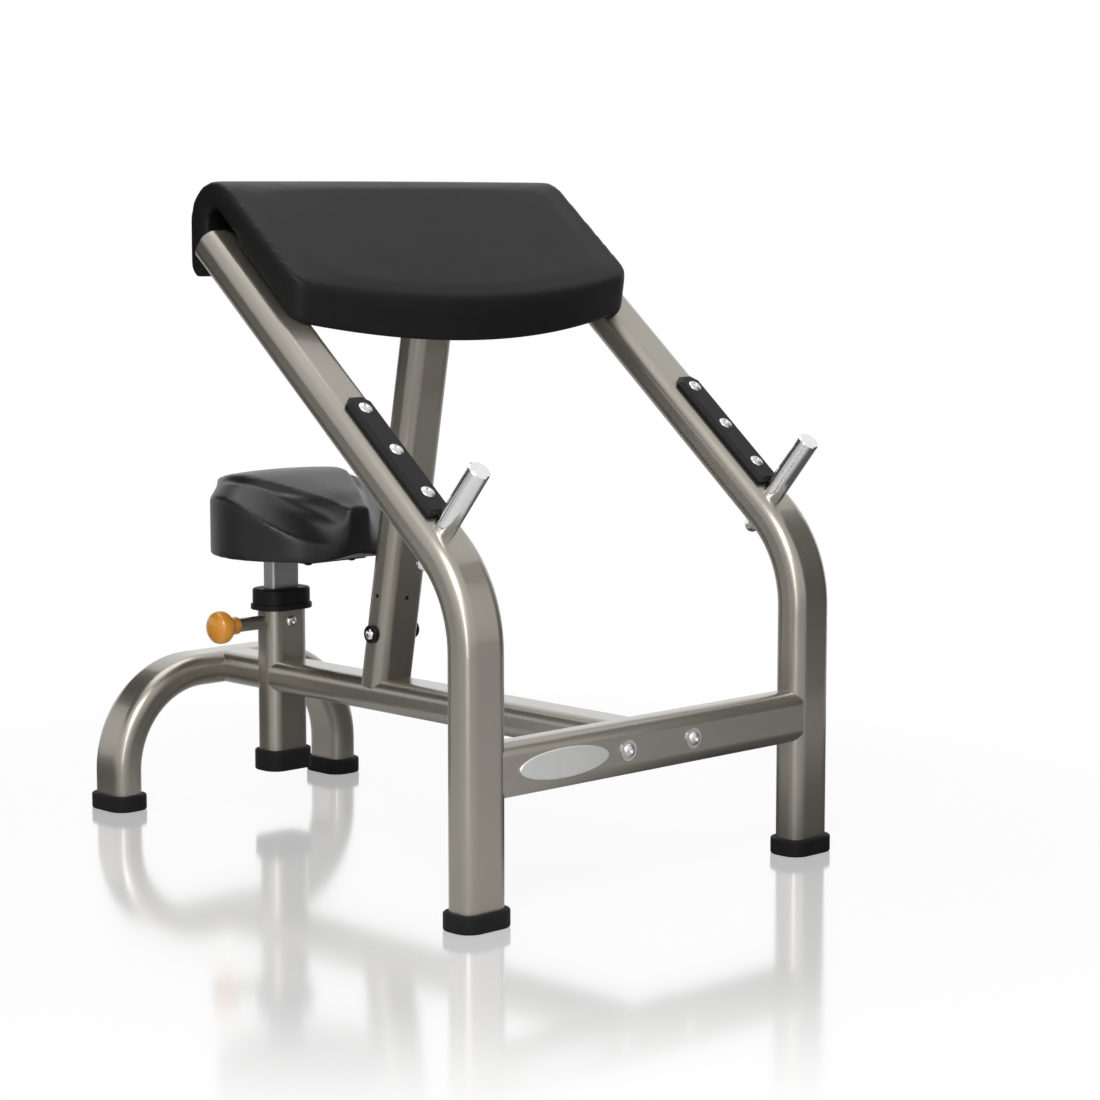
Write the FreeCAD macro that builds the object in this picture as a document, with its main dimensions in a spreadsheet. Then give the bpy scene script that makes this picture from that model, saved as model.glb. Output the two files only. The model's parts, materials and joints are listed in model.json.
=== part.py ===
"""Preacher curl bench: a bent-tube frame, a sloped arm pad with bar rests, and a seat that slides
up and down in a sleeve and is locked by a spring pull pin.

Lengths are millimetres. +X is the bench's width, +Y runs from the front legs to the seat, +Z is up.
The origin is on the floor, in the middle of the bench's footprint.
"""
import FreeCAD
import Part
import Sketcher
import math
import os
import re
from FreeCAD import Placement, Rotation, Vector

# Driving sizes, one cell each. Names that end in share are fractions of another size.
SIZES = (
    # Frame tube, one rounded section throughout
    ("tube_width", 76.2),
    ("tube_depth", 50.8),
    ("tube_corner", 19),
    ("tube_wall", 3),
    ("cope_share", 0.7),
    # Two main tubes: upright front legs that bend back into the slope under the arm pad
    ("leg_spread", 656),
    ("slope_angle", 39.8),
    ("slope_meet_height", 452.7),
    ("main_bend_radius", 175),
    ("slope_length", 704.5),
    ("plug_depth", 16),
    ("plug_flange", 3),
    ("plug_rim", 1),
    # Base: front crossmember, rail and rear foot arch
    ("foot_span", 961.3),
    ("beam_height", 209.5),
    ("arch_spread", 442.8),
    ("arch_bend_radius", 150),
    ("end_plate_width", 176),
    ("end_plate_height", 62),
    ("end_plate_thick", 8),
    ("rail_bolt_spread", 131.2),
    ("rail_bolt_size", 10),
    ("rail_bolt_head", 20),
    ("rail_bolt_dome", 6),
    ("rail_washer_size", 30),
    ("rail_washer_thick", 2),
    ("rail_nut_size", 19.6),
    ("rail_nut_height", 8),
    ("badge_length", 168),
    ("badge_height", 42),
    ("badge_thick", 2.5),
    ("badge_bevel", 1),
    ("badge_place", 188.6),
    # Rubber boots on the feet and under the sleeve
    ("boot_wall", 8),
    ("boot_floor", 8),
    ("boot_height", 25),
    ("boot_round", 3),
    ("cap_wall", 7),
    ("cap_height", 33),
    # Upright under the arm pad, and the stub it is bolted to
    ("upright_gap", 257.3),
    ("upright_top_place", 591.7),
    ("stub_length", 150),
    ("upright_bolt_rise", 73),
    ("upright_bolt_size", 10),
    ("upright_washer_size", 28),
    ("upright_washer_thick", 3),
    ("upright_cup_wall", 3),
    ("upright_cup_rim", 4),
    ("upright_nut_size", 19),
    ("upright_nut_height", 4),
    ("upright_nut_dome", 4),
    ("vent_hole_rise", 134),
    ("vent_hole_size", 7),
    # Cross tube and brackets that carry the arm pad
    ("cross_tube_drop", 6),
    ("bracket_place", 645),
    ("bracket_length", 40),
    ("bracket_reach", 46),
    ("bracket_thick", 6),
    ("pad_bolt_size", 8),
    ("pad_bolt_head", 15),
    ("pad_bolt_head_height", 5.5),
    ("pad_bolt_grip", 10),
    ("pad_bolt_spread", 360),
    # Arm pad and its board
    ("pad_overhang", 6),
    ("pad_rise", 51),
    ("pad_crown", 2.5),
    ("pad_edge_round", 11),
    ("pad_front_place", 327),
    ("pad_front_lean", 2),
    ("pad_side_lean", 8),
    ("pad_front_bow", 35),
    ("pad_front_round", 7),
    ("pad_corner_set", 10),
    ("pad_roll_radius", 56),
    ("pad_roll_wall", 41),
    ("pad_roll_back", 606),
    ("pad_lip_drop", 64),
    ("pad_hollow_start", 664),
    ("pad_hollow_ramp", 13),
    ("board_inset", 48),
    ("board_front", 532),
    ("board_back", 659),
    ("board_thick", 12),
    # Wear strips and round posts that make the two bar rests
    ("strip_width", 44),
    ("strip_thick", 12),
    ("strip_bevel", 5.5),
    ("strip_corner", 13),
    ("strip_bolt_place", 318.5),
    ("strip_bolt_pitch", 82.7),
    ("strip_top_margin", 27),
    ("strip_foot_margin", 38),
    ("strip_bolt_size", 8),
    ("strip_bolt_head", 21),
    ("strip_bolt_dome", 3.5),
    ("strip_bolt_grip", 8),
    ("post_place", 97.5),
    ("post_size", 32),
    ("post_height", 106),
    ("post_edge", 1.5),
    ("post_stud_size", 16),
    ("post_washer_size", 30),
    ("post_washer_thick", 3),
    ("post_nut_size", 26),
    ("post_nut_height", 13),
    ("post_nut_dome", 11),
    # Seat sleeve with its collar
    ("sleeve_setback", 142),
    ("sleeve_bottom", 64),
    ("sleeve_top", 338),
    ("collar_wall", 8),
    ("collar_drop", 22),
    ("collar_cap", 12),
    ("collar_round", 4),
    ("collar_lip", 3),
    ("collar_lip_height", 9),
    ("liner_length", 55),
    ("guide_bolt_size", 8),
    ("guide_bolt_head", 19),
    ("guide_bolt_dome", 5),
    # Pull pin, measured outwards from the sleeve's axis, as it stands when drawn clear of the post
    ("pin_height", 296.5),
    ("pin_size", 12),
    ("pin_throw", 12),
    ("pin_tip_clear", 1),
    ("pin_tip_bevel", 1.5),
    ("pin_rod_size", 8),
    ("pin_collar_size", 15),
    ("pin_collar_thick", 4),
    ("barrel_size", 22),
    ("barrel_reach", 91.5),
    ("barrel_bore", 16),
    ("barrel_end_wall", 6),
    ("guide_length", 12),
    ("spring_size", 14.6),
    ("spring_bore", 9.4),
    ("knob_size", 52),
    ("knob_neck_size", 28),
    ("knob_neck_length", 12.5),
    ("knob_flare", 12),
    ("knob_length", 49.5),
    ("knob_dome", 13),
    ("knob_round", 6),
    ("knob_lap", 1),
    ("knob_end_clear", 1.5),
    ("knob_gap", 0.75),
    ("knob_grip", 16),
    # Seat post, plate, board and pad
    ("seat_post_width", 53),
    ("seat_post_depth", 27),
    ("seat_post_corner", 4),
    ("seat_post_wall", 3),
    ("seat_post_bottom", 118),
    ("hole_pitch", 25),
    ("glide_height", 30),
    ("glide_floor", 6),
    ("seat_base_height", 410),
    ("seat_setback", 54),
    ("seat_width", 296),
    ("seat_length", 290),
    ("seat_rise", 126),
    ("seat_plate_width", 120),
    ("seat_plate_length", 170),
    ("seat_plate_thick", 6),
    ("seat_board_width", 210),
    ("seat_board_length", 200),
    ("seat_board_corner", 50),
    ("seat_board_thick", 14),
    ("seat_bolt_size", 8),
    ("seat_bolt_head", 15),
    ("seat_bolt_dome", 4.5),
    ("seat_bolt_grip", 10),
    ("seat_bolt_inset", 16),
    # Clearances, and the length by which a cutting tool runs past what it cuts
    ("fit_gap", 0.2),
    ("slide_gap", 0.3),
    ("pin_gap", 0.1),
    ("soft_gap", 0.3),
    ("overrun", 10),
)
SEAT_STEPS = 5
STRIP_BOLTS = 3
SOCKET_SHARE = 0.4
SOCKET_DEPTH_SHARE = 0.55
BRACKET_HOLE_SHARE = 0.6
CORNER_ROOM_SHARE = 0.98

# Seat pad outlines from the base up: height, front and rear half widths, front and rear reach, corner,
# as shares of the seat's rise, half width, half length and half width
SEAT_SHARES = (
    (0.00, 0.84, 0.84, 0.86, 0.86, 0.50),
    (0.14, 0.97, 0.97, 0.98, 0.98, 0.52),
    (0.45, 0.90, 1.00, 1.00, 1.00, 0.50),
    (0.70, 0.62, 0.93, 0.93, 0.97, 0.42),
    (0.90, 0.36, 0.84, 0.66, 0.84, 0.28),
    (1.00, 0.20, 0.70, 0.30, 0.62, 0.15),
)
# Arm pad sections from the middle to one side: place, as a share of the half width, and the shares
# of the edge rounding and of the front corner's set-back that the section has there
PAD_SHARES = (
    (0.0, 0.0, 0.0),
    (0.5, 0.0, 0.0),
    (0.88, 0.0, 0.06),
    (0.955, 0.05, 0.25),
    (0.985, 0.32, 0.58),
    (1.0, 1.0, 1.0),
)

doc = FreeCAD.newDocument("preacher_curl_bench")
sheet = doc.addObject("Spreadsheet::Sheet", "sizes")
for row, (name, amount) in enumerate(SIZES, start=1):
    sheet.set(f"A{row}", str(amount))
    sheet.setAlias(f"A{row}", name)
doc.recompute()

NAMES = {name for name, amount in SIZES}
nodes = []


def cells(rule):
    """Turn a rule on the names above into an expression on the sheet's cells."""
    return re.sub(r"[a-z_]+", lambda word: "sizes." + word[0] if word[0] in NAMES else word[0], rule)


def number(rule):
    """What a rule gives with the sizes on the sheet."""
    return float(sheet.evalExpression(cells(rule)))


def bind(thing, **rules):
    """Tie an object's settings to the sheet."""
    for setting, rule in rules.items():
        thing.setExpression(setting, cells(rule))
    return thing


def node(label, thing):
    """Keep a finished sub-part under its label."""
    thing.Label = label
    nodes.append(thing)
    return thing


def put(thing, x, y, z, turn=Rotation()):
    """Give an object its place and turn."""
    thing.Placement = Placement(Vector(x, y, z), turn)
    return thing


def primitive(kind, name, **rules):
    """A primitive solid whose sizes follow the sheet."""
    return bind(doc.addObject("Part::" + kind, name), **rules)


def rod(name, size, length):
    """A cylinder along its own +Z, from its diameter and length."""
    return primitive("Cylinder", name, Radius=f"({size}) / 2", Height=length)


def block(name, length, width, height):
    """A box from its corner, along its own axes."""
    return primitive("Box", name, Length=length, Width=width, Height=height)


def fuse(name, *pieces):
    """One solid, or a set of them, from several."""
    joined = doc.addObject("Part::MultiFuse", name)
    joined.Shapes = list(pieces)
    return joined


def cut(name, base, *tools):
    """A solid less one or more others."""
    less = doc.addObject("Part::Cut", name)
    less.Base = base
    less.Tool = tools[0] if len(tools) == 1 else fuse(name + "_tools", *tools)
    return less


def group(name, pieces):
    """Separate solids kept in one node."""
    several = doc.addObject("Part::Compound", name)
    several.Links = list(pieces)
    return several


def ease(kind, name, base, size, wanted):
    """Chamfer or round the edges of a solid that the test picks."""
    doc.recompute()
    picked = [index for index, edge in enumerate(base.Shape.Edges, start=1) if wanted(edge)]
    eased = doc.addObject("Part::" + kind, name)
    eased.Base = base
    eased.Edges = [(index, number(size), number(size)) for index in picked]
    return eased


def level_rim(edge):
    """Whether an edge lies level, as the rims of an upright bar do."""
    return edge.BoundBox.ZLength < number("fit_gap")


def sketch_on(body, name, role):
    """A sketch on one of the body's own origin planes."""
    sketch = body.newObject("Sketcher::SketchObject", name)
    plane = next(feature for feature in body.Origin.OriginFeatures if feature.Role == role)
    sketch.AttachmentSupport = (plane, [""])
    sketch.MapMode = "FlatFace"
    return sketch


def measure(sketch, name, rule, constraint):
    """Add a sketch dimension that follows the sheet."""
    index = sketch.addConstraint(constraint)
    sketch.renameConstraint(index, name)
    sketch.setExpression("Constraints." + name, cells(rule))


def rounded_outline(sketch, wide, deep, corner, tag):
    """Draw a rounded rectangle about the sketch's origin."""
    half_wide, half_deep, radius = number(wide) / 2, number(deep) / 2, number(corner)
    flat_wide, flat_deep = half_wide - radius, half_deep - radius
    start = sketch.GeometryCount
    sides = (
        (Vector(-flat_wide, -half_deep), Vector(flat_wide, -half_deep), Vector(flat_wide, -flat_deep)),
        (Vector(half_wide, -flat_deep), Vector(half_wide, flat_deep), Vector(flat_wide, flat_deep)),
        (Vector(flat_wide, half_deep), Vector(-flat_wide, half_deep), Vector(-flat_wide, flat_deep)),
        (Vector(-half_wide, flat_deep), Vector(-half_wide, -flat_deep), Vector(-flat_wide, -flat_deep)),
    )
    for turn, (begin, end, centre) in enumerate(sides):
        sketch.addGeometry(Part.LineSegment(begin, end), False)
        circle = Part.Circle(centre, Vector(0, 0, 1), radius)
        sketch.addGeometry(Part.ArcOfCircle(circle, (turn - 1) * math.pi / 2, turn * math.pi / 2), False)
    for turn in range(4):
        line = start + 2 * turn
        arc = line + 1
        following = start + (2 * turn + 2) % 8
        sketch.addConstraint(Sketcher.Constraint("Tangent", line, 2, arc, 1))
        sketch.addConstraint(Sketcher.Constraint("Tangent", arc, 2, following, 1))
        sketch.addConstraint(Sketcher.Constraint("Vertical" if turn % 2 else "Horizontal", line))
        if turn:
            sketch.addConstraint(Sketcher.Constraint("Equal", start + 1, arc))
    sketch.addConstraint(Sketcher.Constraint("Symmetric", start, 1, start + 4, 1, -1, 1))
    across = Sketcher.Constraint("DistanceX", start + 6, 1, start + 2, 1, 2 * half_wide)
    through = Sketcher.Constraint("DistanceY", start, 1, start + 4, 1, 2 * half_deep)
    measure(sketch, "wide_" + tag, wide, across)
    measure(sketch, "deep_" + tag, deep, through)
    measure(sketch, "corner_" + tag, corner, Sketcher.Constraint("Radius", start + 1, radius))


def section_sketch(body, name, wide, deep, corner, wall=None):
    """The cross-section of a rounded bar or, with a wall, of a tube."""
    sketch = sketch_on(body, name + "_section", "XY_Plane")
    rounded_outline(sketch, wide, deep, corner, "outside")
    if wall:
        inner = [f"({side}) - 2 * ({wall})" for side in (wide, deep)]
        rounded_outline(sketch, inner[0], inner[1], f"({corner}) - ({wall})", "inside")
    return sketch


def bar(name, wide, deep, corner, length, wall=None):
    """A straight rounded bar or tube along its own +Z."""
    body = doc.addObject("PartDesign::Body", name)
    pad = body.newObject("PartDesign::Pad", name + "_pad")
    pad.Profile = section_sketch(body, name, wide, deep, corner, wall)
    bind(pad, Length=length)
    return body


def frame_bar(name, length, wall=None):
    """A straight length of the frame tube, or its solid outside where no wall is given."""
    return bar(name, "tube_width", "tube_depth", "tube_corner", length, wall)


def bent_tube(name, wide, deep, role, runs):
    """The frame tube swept along straight runs and tangent bends.

    Each run is its length, its direction in degrees, and the radius and angle of the bend after it.
    """
    body = doc.addObject("PartDesign::Body", name)
    section = section_sketch(body, name, wide, deep, "tube_corner", "tube_wall")
    path = sketch_on(body, name + "_path", role)
    spot = Vector(0, 0, 0)
    last = None
    for count, (length, heading, radius, turn) in enumerate(runs):
        ahead = math.radians(heading)
        end = spot + Vector(math.cos(ahead), math.sin(ahead)) * number(length)
        line = path.addGeometry(Part.LineSegment(spot, end), False)
        if last is None:
            path.addConstraint(Sketcher.Constraint("Coincident", line, 1, -1, 1))
            path.addConstraint(Sketcher.Constraint("Vertical", line))
        else:
            path.addConstraint(Sketcher.Constraint("Tangent", last, 1, line, 1))
        measure(path, f"run_{count}", length, Sketcher.Constraint("Distance", line, number(length)))
        spot = end
        if radius is None:
            continue
        bend, sweep = number(radius), math.radians(number(turn))
        centre = end + Vector(math.sin(ahead), -math.cos(ahead)) * bend
        start = ahead + math.pi / 2
        circle = Part.Circle(centre, Vector(0, 0, 1), bend)
        last = path.addGeometry(Part.ArcOfCircle(circle, start - sweep, start), False)
        path.addConstraint(Sketcher.Constraint("Tangent", line, 2, last, 2))
        measure(path, f"bend_{count}", radius, Sketcher.Constraint("Radius", last, bend))
        opening = Sketcher.Constraint("Angle", last, sweep)
        measure(path, f"turn_{count}", f"({turn}) * 1 deg", opening)
        spot = centre + Vector(math.cos(start - sweep), math.sin(start - sweep)) * bend
    doc.recompute()
    pipe = body.newObject("PartDesign::AdditivePipe", name + "_pipe")
    pipe.Profile = section
    pipe.Spine = (path, [f"Edge{index + 1}" for index in range(path.GeometryCount)])
    return body


def cup(name, wide, deep, wall, floor, height):
    """A boot that fits over the end of a tube, its floor at the bottom."""
    outer = (f"{wide} + 2 * {wall}", f"{deep} + 2 * {wall}", f"tube_corner + {wall}")
    inner = (f"{wide} + 2 * fit_gap", f"{deep} + 2 * fit_gap", "tube_corner + fit_gap")
    outside = bar(name + "_outside", *outer, height)
    seat = bar(name + "_seat", *inner, height)
    rounded = ease("Fillet", name + "_rounded", outside, "boot_round", level_rim)
    return cut(name, rounded, put(seat, 0, 0, number(floor)))


def dome_cap(name, rise, radius):
    """Half an ellipsoid, its flat side at zero and its top along +Z."""
    cap = primitive("Ellipsoid", name, Radius1=rise, Radius2=radius, Radius3=radius)
    cap.Angle1 = 0
    cap.Angle2 = 90
    return cap


def button_bolt(name, size, head, dome, shank):
    """A domed bolt with a hexagon socket: its seat at zero, head along +Z, shank along -Z."""
    cap = dome_cap(name + "_head", dome, f"({head}) / 2")
    socket = primitive("Prism", name + "_socket", Circumradius=f"({head}) / 2 * {SOCKET_SHARE}", Height=dome)
    put(socket, 0, 0, number(dome) * (1 - SOCKET_DEPTH_SHARE))
    stem = put(rod(name + "_shank", size, shank), 0, 0, -number(shank))
    return fuse(name, cut(name + "_cap", cap, socket), stem)


def hex_bolt(name, size, head, head_height, shank):
    """A hexagon bolt: its seat at zero, head along -Z, shank along +Z."""
    cap = primitive("Prism", name + "_head", Circumradius=f"({head}) / 2", Height=head_height)
    put(cap, 0, 0, -number(head_height))
    return fuse(name, cap, rod(name + "_shank", size, shank))


def washer(name, size, thick, hole):
    """A flat ring from zero along +Z."""
    bore = rod(name + "_bore", f"{hole} + 2 * fit_gap", f"{thick} + 2 * overrun")
    put(bore, 0, 0, -number("overrun"))
    return cut(name, rod(name + "_disc", size, thick), bore)


def cup_washer(name, size, thick, hole, wall, rim):
    """A washer with a raised rim round its nut: its seat at zero, rim along +Z."""
    blank = rod(name + "_blank", size, f"{thick} + {rim}")
    rounded = ease("Fillet", name + "_rounded", blank, f"{wall} / 2", level_rim)
    recess = rod(name + "_recess", f"{size} - 2 * {wall}", f"{rim} + overrun")
    put(recess, 0, 0, number(thick))
    bore = rod(name + "_bore", f"{hole} + 2 * fit_gap", f"{thick} + 2 * overrun")
    put(bore, 0, 0, -number("overrun"))
    return cut(name, rounded, recess, bore)


def dome_nut(name, size, height, dome, thread):
    """A hexagon nut with a domed end: its seat at zero, dome along +Z."""
    hexagon = primitive("Prism", name + "_hexagon", Circumradius=f"({size}) / 2", Height=height)
    cap = put(dome_cap(name + "_dome", dome, f"({size}) / 2 * cos(30 deg)"), 0, 0, number(height))
    thread_hole = put(rod(name + "_thread", thread, f"{height} + overrun"), 0, 0, -number("overrun"))
    return cut(name, fuse(name + "_body", hexagon, cap), thread_hole)


# Places that several sub-parts share
COPE = "cope_share * tube_corner"
TURN = "90 - slope_angle"
BEND_TANGENT = "main_bend_radius * tan(45 deg - slope_angle * 0.5 deg)"
HALF_DEPTH = "tube_depth / 2"
BOARD_WIDTH = "leg_spread - 2 * board_inset"
STRIP_HOLE = "strip_bolt_size + 2 * fit_gap"
PAD_BOLT_HOLE = "pad_bolt_size + 2 * fit_gap"
UPRIGHT_HOLE = "upright_bolt_size + 2 * fit_gap"
cope = number(COPE)
overrun = number("overrun")
side_x = number("leg_spread / 2")
inner_x = number("leg_spread / 2 - tube_width / 2")
half_depth = number(HALF_DEPTH)
half_width = number("tube_width / 2")
leg_y = -number("(foot_span + tube_width / 2 - tube_depth / 2) / 2")
arch_y = leg_y + number("foot_span")
sleeve_y = arch_y - number("sleeve_setback")
beam_z = number("beam_height")
SIDES = (("left", -1), ("right", 1))

ALONG_X = Rotation(Vector(0, 1, 0), 90)
ALONG_MINUS_X = Rotation(Vector(0, 1, 0), -90)
ALONG_Y = Rotation(Vector(1, 0, 0), -90)
ALONG_MINUS_Y = Rotation(Vector(1, 0, 0), 90)
FLAT_ALONG_X = Rotation(Vector(1, 1, 1), 120)
UPSIDE_DOWN = Rotation(Vector(1, 0, 0), 180)
SLOPE = Rotation(Vector(1, 0, 0), number("slope_angle"))
meet = Vector(0, leg_y, number("slope_meet_height"))


def on_slope(thing, x, along, above, turn=Rotation()):
    """Place an object by its distance up the slope and above the main tubes' centre lines."""
    thing.Placement = Placement(meet + SLOPE.multVec(Vector(x, along, above)), SLOPE * turn)
    return thing


def outward(sign):
    """The turn that sends an object's own +Z to the bench's left or right."""
    return ALONG_X if sign > 0 else ALONG_MINUS_X


def strip_bolt_places():
    """Distances of the strip bolts up the slope."""
    return [number(f"strip_bolt_place - {index} * strip_bolt_pitch") for index in range(STRIP_BOLTS)]


def main_tubes():
    """The two bent tubes, drilled for the strip bolts and the posts' studs."""
    plugs = []
    for side, sign in SIDES:
        x = sign * side_x
        runs = (
            (f"slope_meet_height - boot_floor - {BEND_TANGENT}", 90, "main_bend_radius", TURN),
            (f"slope_length - {BEND_TANGENT}", number("slope_angle"), None, None),
        )
        tube = bent_tube(side + "_leg_tube", "tube_width", "tube_depth", "YZ_Plane", runs)
        put(tube, x, leg_y, number("boot_floor"))
        holes = []
        for index, place in enumerate(strip_bolt_places()):
            hole = rod(f"{side}_strip_hole_{index}", STRIP_HOLE, f"{HALF_DEPTH} + overrun")
            holes.append(on_slope(hole, x, place, 0))
        stud_hole = rod(side + "_stud_hole", "post_stud_size + 2 * fit_gap", "tube_depth + 2 * overrun")
        holes.append(on_slope(stud_hole, x, number("post_place"), -half_depth - overrun))
        node(side + "_main_tube", cut(side + "_drilled_tube", tube, *holes))
        inside = "tube_wall + fit_gap"
        core = bar(side + "_plug_core", f"tube_width - 2 * ({inside})", f"tube_depth - 2 * ({inside})",
                   f"tube_corner - ({inside})", "plug_depth + plug_flange")
        flange = bar(side + "_plug_flange", "tube_width - 2 * plug_rim", "tube_depth - 2 * plug_rim",
                     "tube_corner - plug_rim", "plug_flange")
        end = number("slope_length")
        on_slope(core, x, end - number("plug_depth"), 0, ALONG_Y)
        on_slope(flange, x, end, 0, ALONG_Y)
        plugs.append(fuse(side + "_plug", core, flange))
    node("tube_end_plugs", group("plugs", plugs))


def front_crossmember():
    """The beam between the front legs, coped to them, with the rail's bolts through it."""
    reach = f"leg_spread / 2 - tube_width / 2 + {COPE}"
    beam = frame_bar("crossmember_tube", f"2 * ({reach})", "tube_wall")
    put(beam, -number(reach), leg_y, beam_z, ALONG_X)
    tools = []
    bolts, washers, nuts = [], [], []
    front = leg_y - half_depth
    back = leg_y + half_depth + number("end_plate_thick")
    for side, sign in SIDES:
        leg = frame_bar(side + "_leg_outside", "2 * tube_width")
        tools.append(put(leg, sign * side_x, leg_y, beam_z - 2 * half_width))
        x = sign * number("rail_bolt_spread / 2")
        hole = rod(side + "_rail_bolt_hole", "rail_bolt_size + 2 * fit_gap", "tube_depth + 2 * overrun")
        tools.append(put(hole, x, front - overrun, beam_z, ALONG_Y))
        thick = number("rail_washer_thick")
        ring = washer(side + "_rail_washer", "rail_washer_size", "rail_washer_thick", "rail_bolt_size")
        washers.append(put(ring, x, front, beam_z, ALONG_MINUS_Y))
        shank = "rail_washer_thick + tube_depth + end_plate_thick + rail_nut_height"
        bolt = button_bolt(side + "_rail_bolt", "rail_bolt_size", "rail_bolt_head", "rail_bolt_dome", shank)
        bolts.append(put(bolt, x, front - thick, beam_z, ALONG_MINUS_Y))
        hexagon = primitive("Prism", side + "_rail_nut_hexagon", Circumradius="rail_nut_size / 2",
                            Height="rail_nut_height")
        thread = rod(side + "_rail_nut_thread", "rail_bolt_size", "rail_nut_height")
        nuts.append(put(cut(side + "_rail_nut", hexagon, thread), x, back, beam_z, ALONG_Y))
    node("front_crossmember", cut("coped_crossmember", beam, *tools))
    node("rail_bolts", group("rail_bolt_set", bolts))
    node("rail_bolt_washers", group("rail_washer_set", washers))
    node("rail_bolt_nuts", group("rail_nut_set", nuts))

    plate = block("end_plate", "end_plate_width", "end_plate_thick", "end_plate_height")
    put(plate, -number("end_plate_width / 2"), leg_y + half_depth, beam_z - number("end_plate_height / 2"))
    holes = []
    for side, sign in SIDES:
        hole = rod(side + "_plate_hole", "rail_bolt_size + 2 * fit_gap", "end_plate_thick + 2 * overrun")
        x = sign * number("rail_bolt_spread / 2")
        holes.append(put(hole, x, leg_y + half_depth - overrun, beam_z, ALONG_Y))
    node("rail_end_plate", cut("drilled_end_plate", plate, *holes))

    oval = primitive("Ellipse", "badge_oval", MajorRadius="badge_length / 2", MinorRadius="badge_height / 2")
    badge = doc.addObject("Part::Extrusion", "badge")
    badge.Base = oval
    badge.DirMode = "Custom"
    badge.Dir = Vector(0, 0, 1)
    badge.Solid = True
    bind(badge, LengthFwd="badge_thick")

    def front_rim(edge):
        return edge.BoundBox.ZMin > number("badge_thick / 2")

    beveled = ease("Chamfer", "beveled_badge", badge, "badge_bevel", front_rim)
    node("badge_plate", put(beveled, -number("badge_place"), front, beam_z, ALONG_MINUS_Y))


def sleeve_outside(name):
    """The sleeve as a solid bar, to cope its neighbours."""
    return put(frame_bar(name, "sleeve_top - sleeve_bottom"), 0, sleeve_y, number("sleeve_bottom"))


def base_rails():
    """The rail in two lengths, in front of the sleeve and behind it."""
    length = f"foot_span - sleeve_setback - tube_depth - end_plate_thick + {COPE}"
    rail = frame_bar("front_rail_tube", length, "tube_wall")
    put(rail, 0, leg_y + half_depth + number("end_plate_thick"), beam_z, ALONG_Y)
    node("front_base_rail", cut("coped_front_rail", rail, sleeve_outside("sleeve_for_front_rail")))

    length = f"sleeve_setback - tube_width / 2 - tube_depth / 2 + 2 * {COPE}"
    rail = frame_bar("rear_rail_tube", length, "tube_wall")
    put(rail, 0, sleeve_y + half_depth - cope, beam_z, ALONG_Y)
    crown = put(frame_bar("crown_outside", "2 * tube_width"), -2 * half_width, arch_y, beam_z, FLAT_ALONG_X)
    node("rear_base_rail", cut("coped_rear_rail", rail, sleeve_outside("sleeve_for_rear_rail"), crown))


def rear_foot_arch():
    """The rear foot, one tube bent twice into an arch."""
    leg = "beam_height - arch_bend_radius - boot_floor"
    runs = (
        (leg, 90, "arch_bend_radius", "90"),
        ("arch_spread - 2 * arch_bend_radius", 0, "arch_bend_radius", "90"),
        (leg, -90, None, None),
    )
    arch = bent_tube("arch_tube", "tube_depth", "tube_width", "XZ_Plane", runs)
    node("rear_foot_arch", put(arch, -number("arch_spread / 2"), arch_y, number("boot_floor")))


def foot_boots():
    """Rubber boots on the four feet."""
    for side, sign in SIDES:
        sizes = ("boot_wall", "boot_floor", "boot_height")
        front = cup(f"front_{side}_boot", "tube_width", "tube_depth", *sizes)
        node(f"front_{side}_foot", put(front, sign * side_x, leg_y, 0))
        rear = cup(f"rear_{side}_boot", "tube_depth", "tube_width", *sizes)
        node(f"rear_{side}_foot", put(rear, sign * number("arch_spread / 2"), arch_y, 0))


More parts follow.
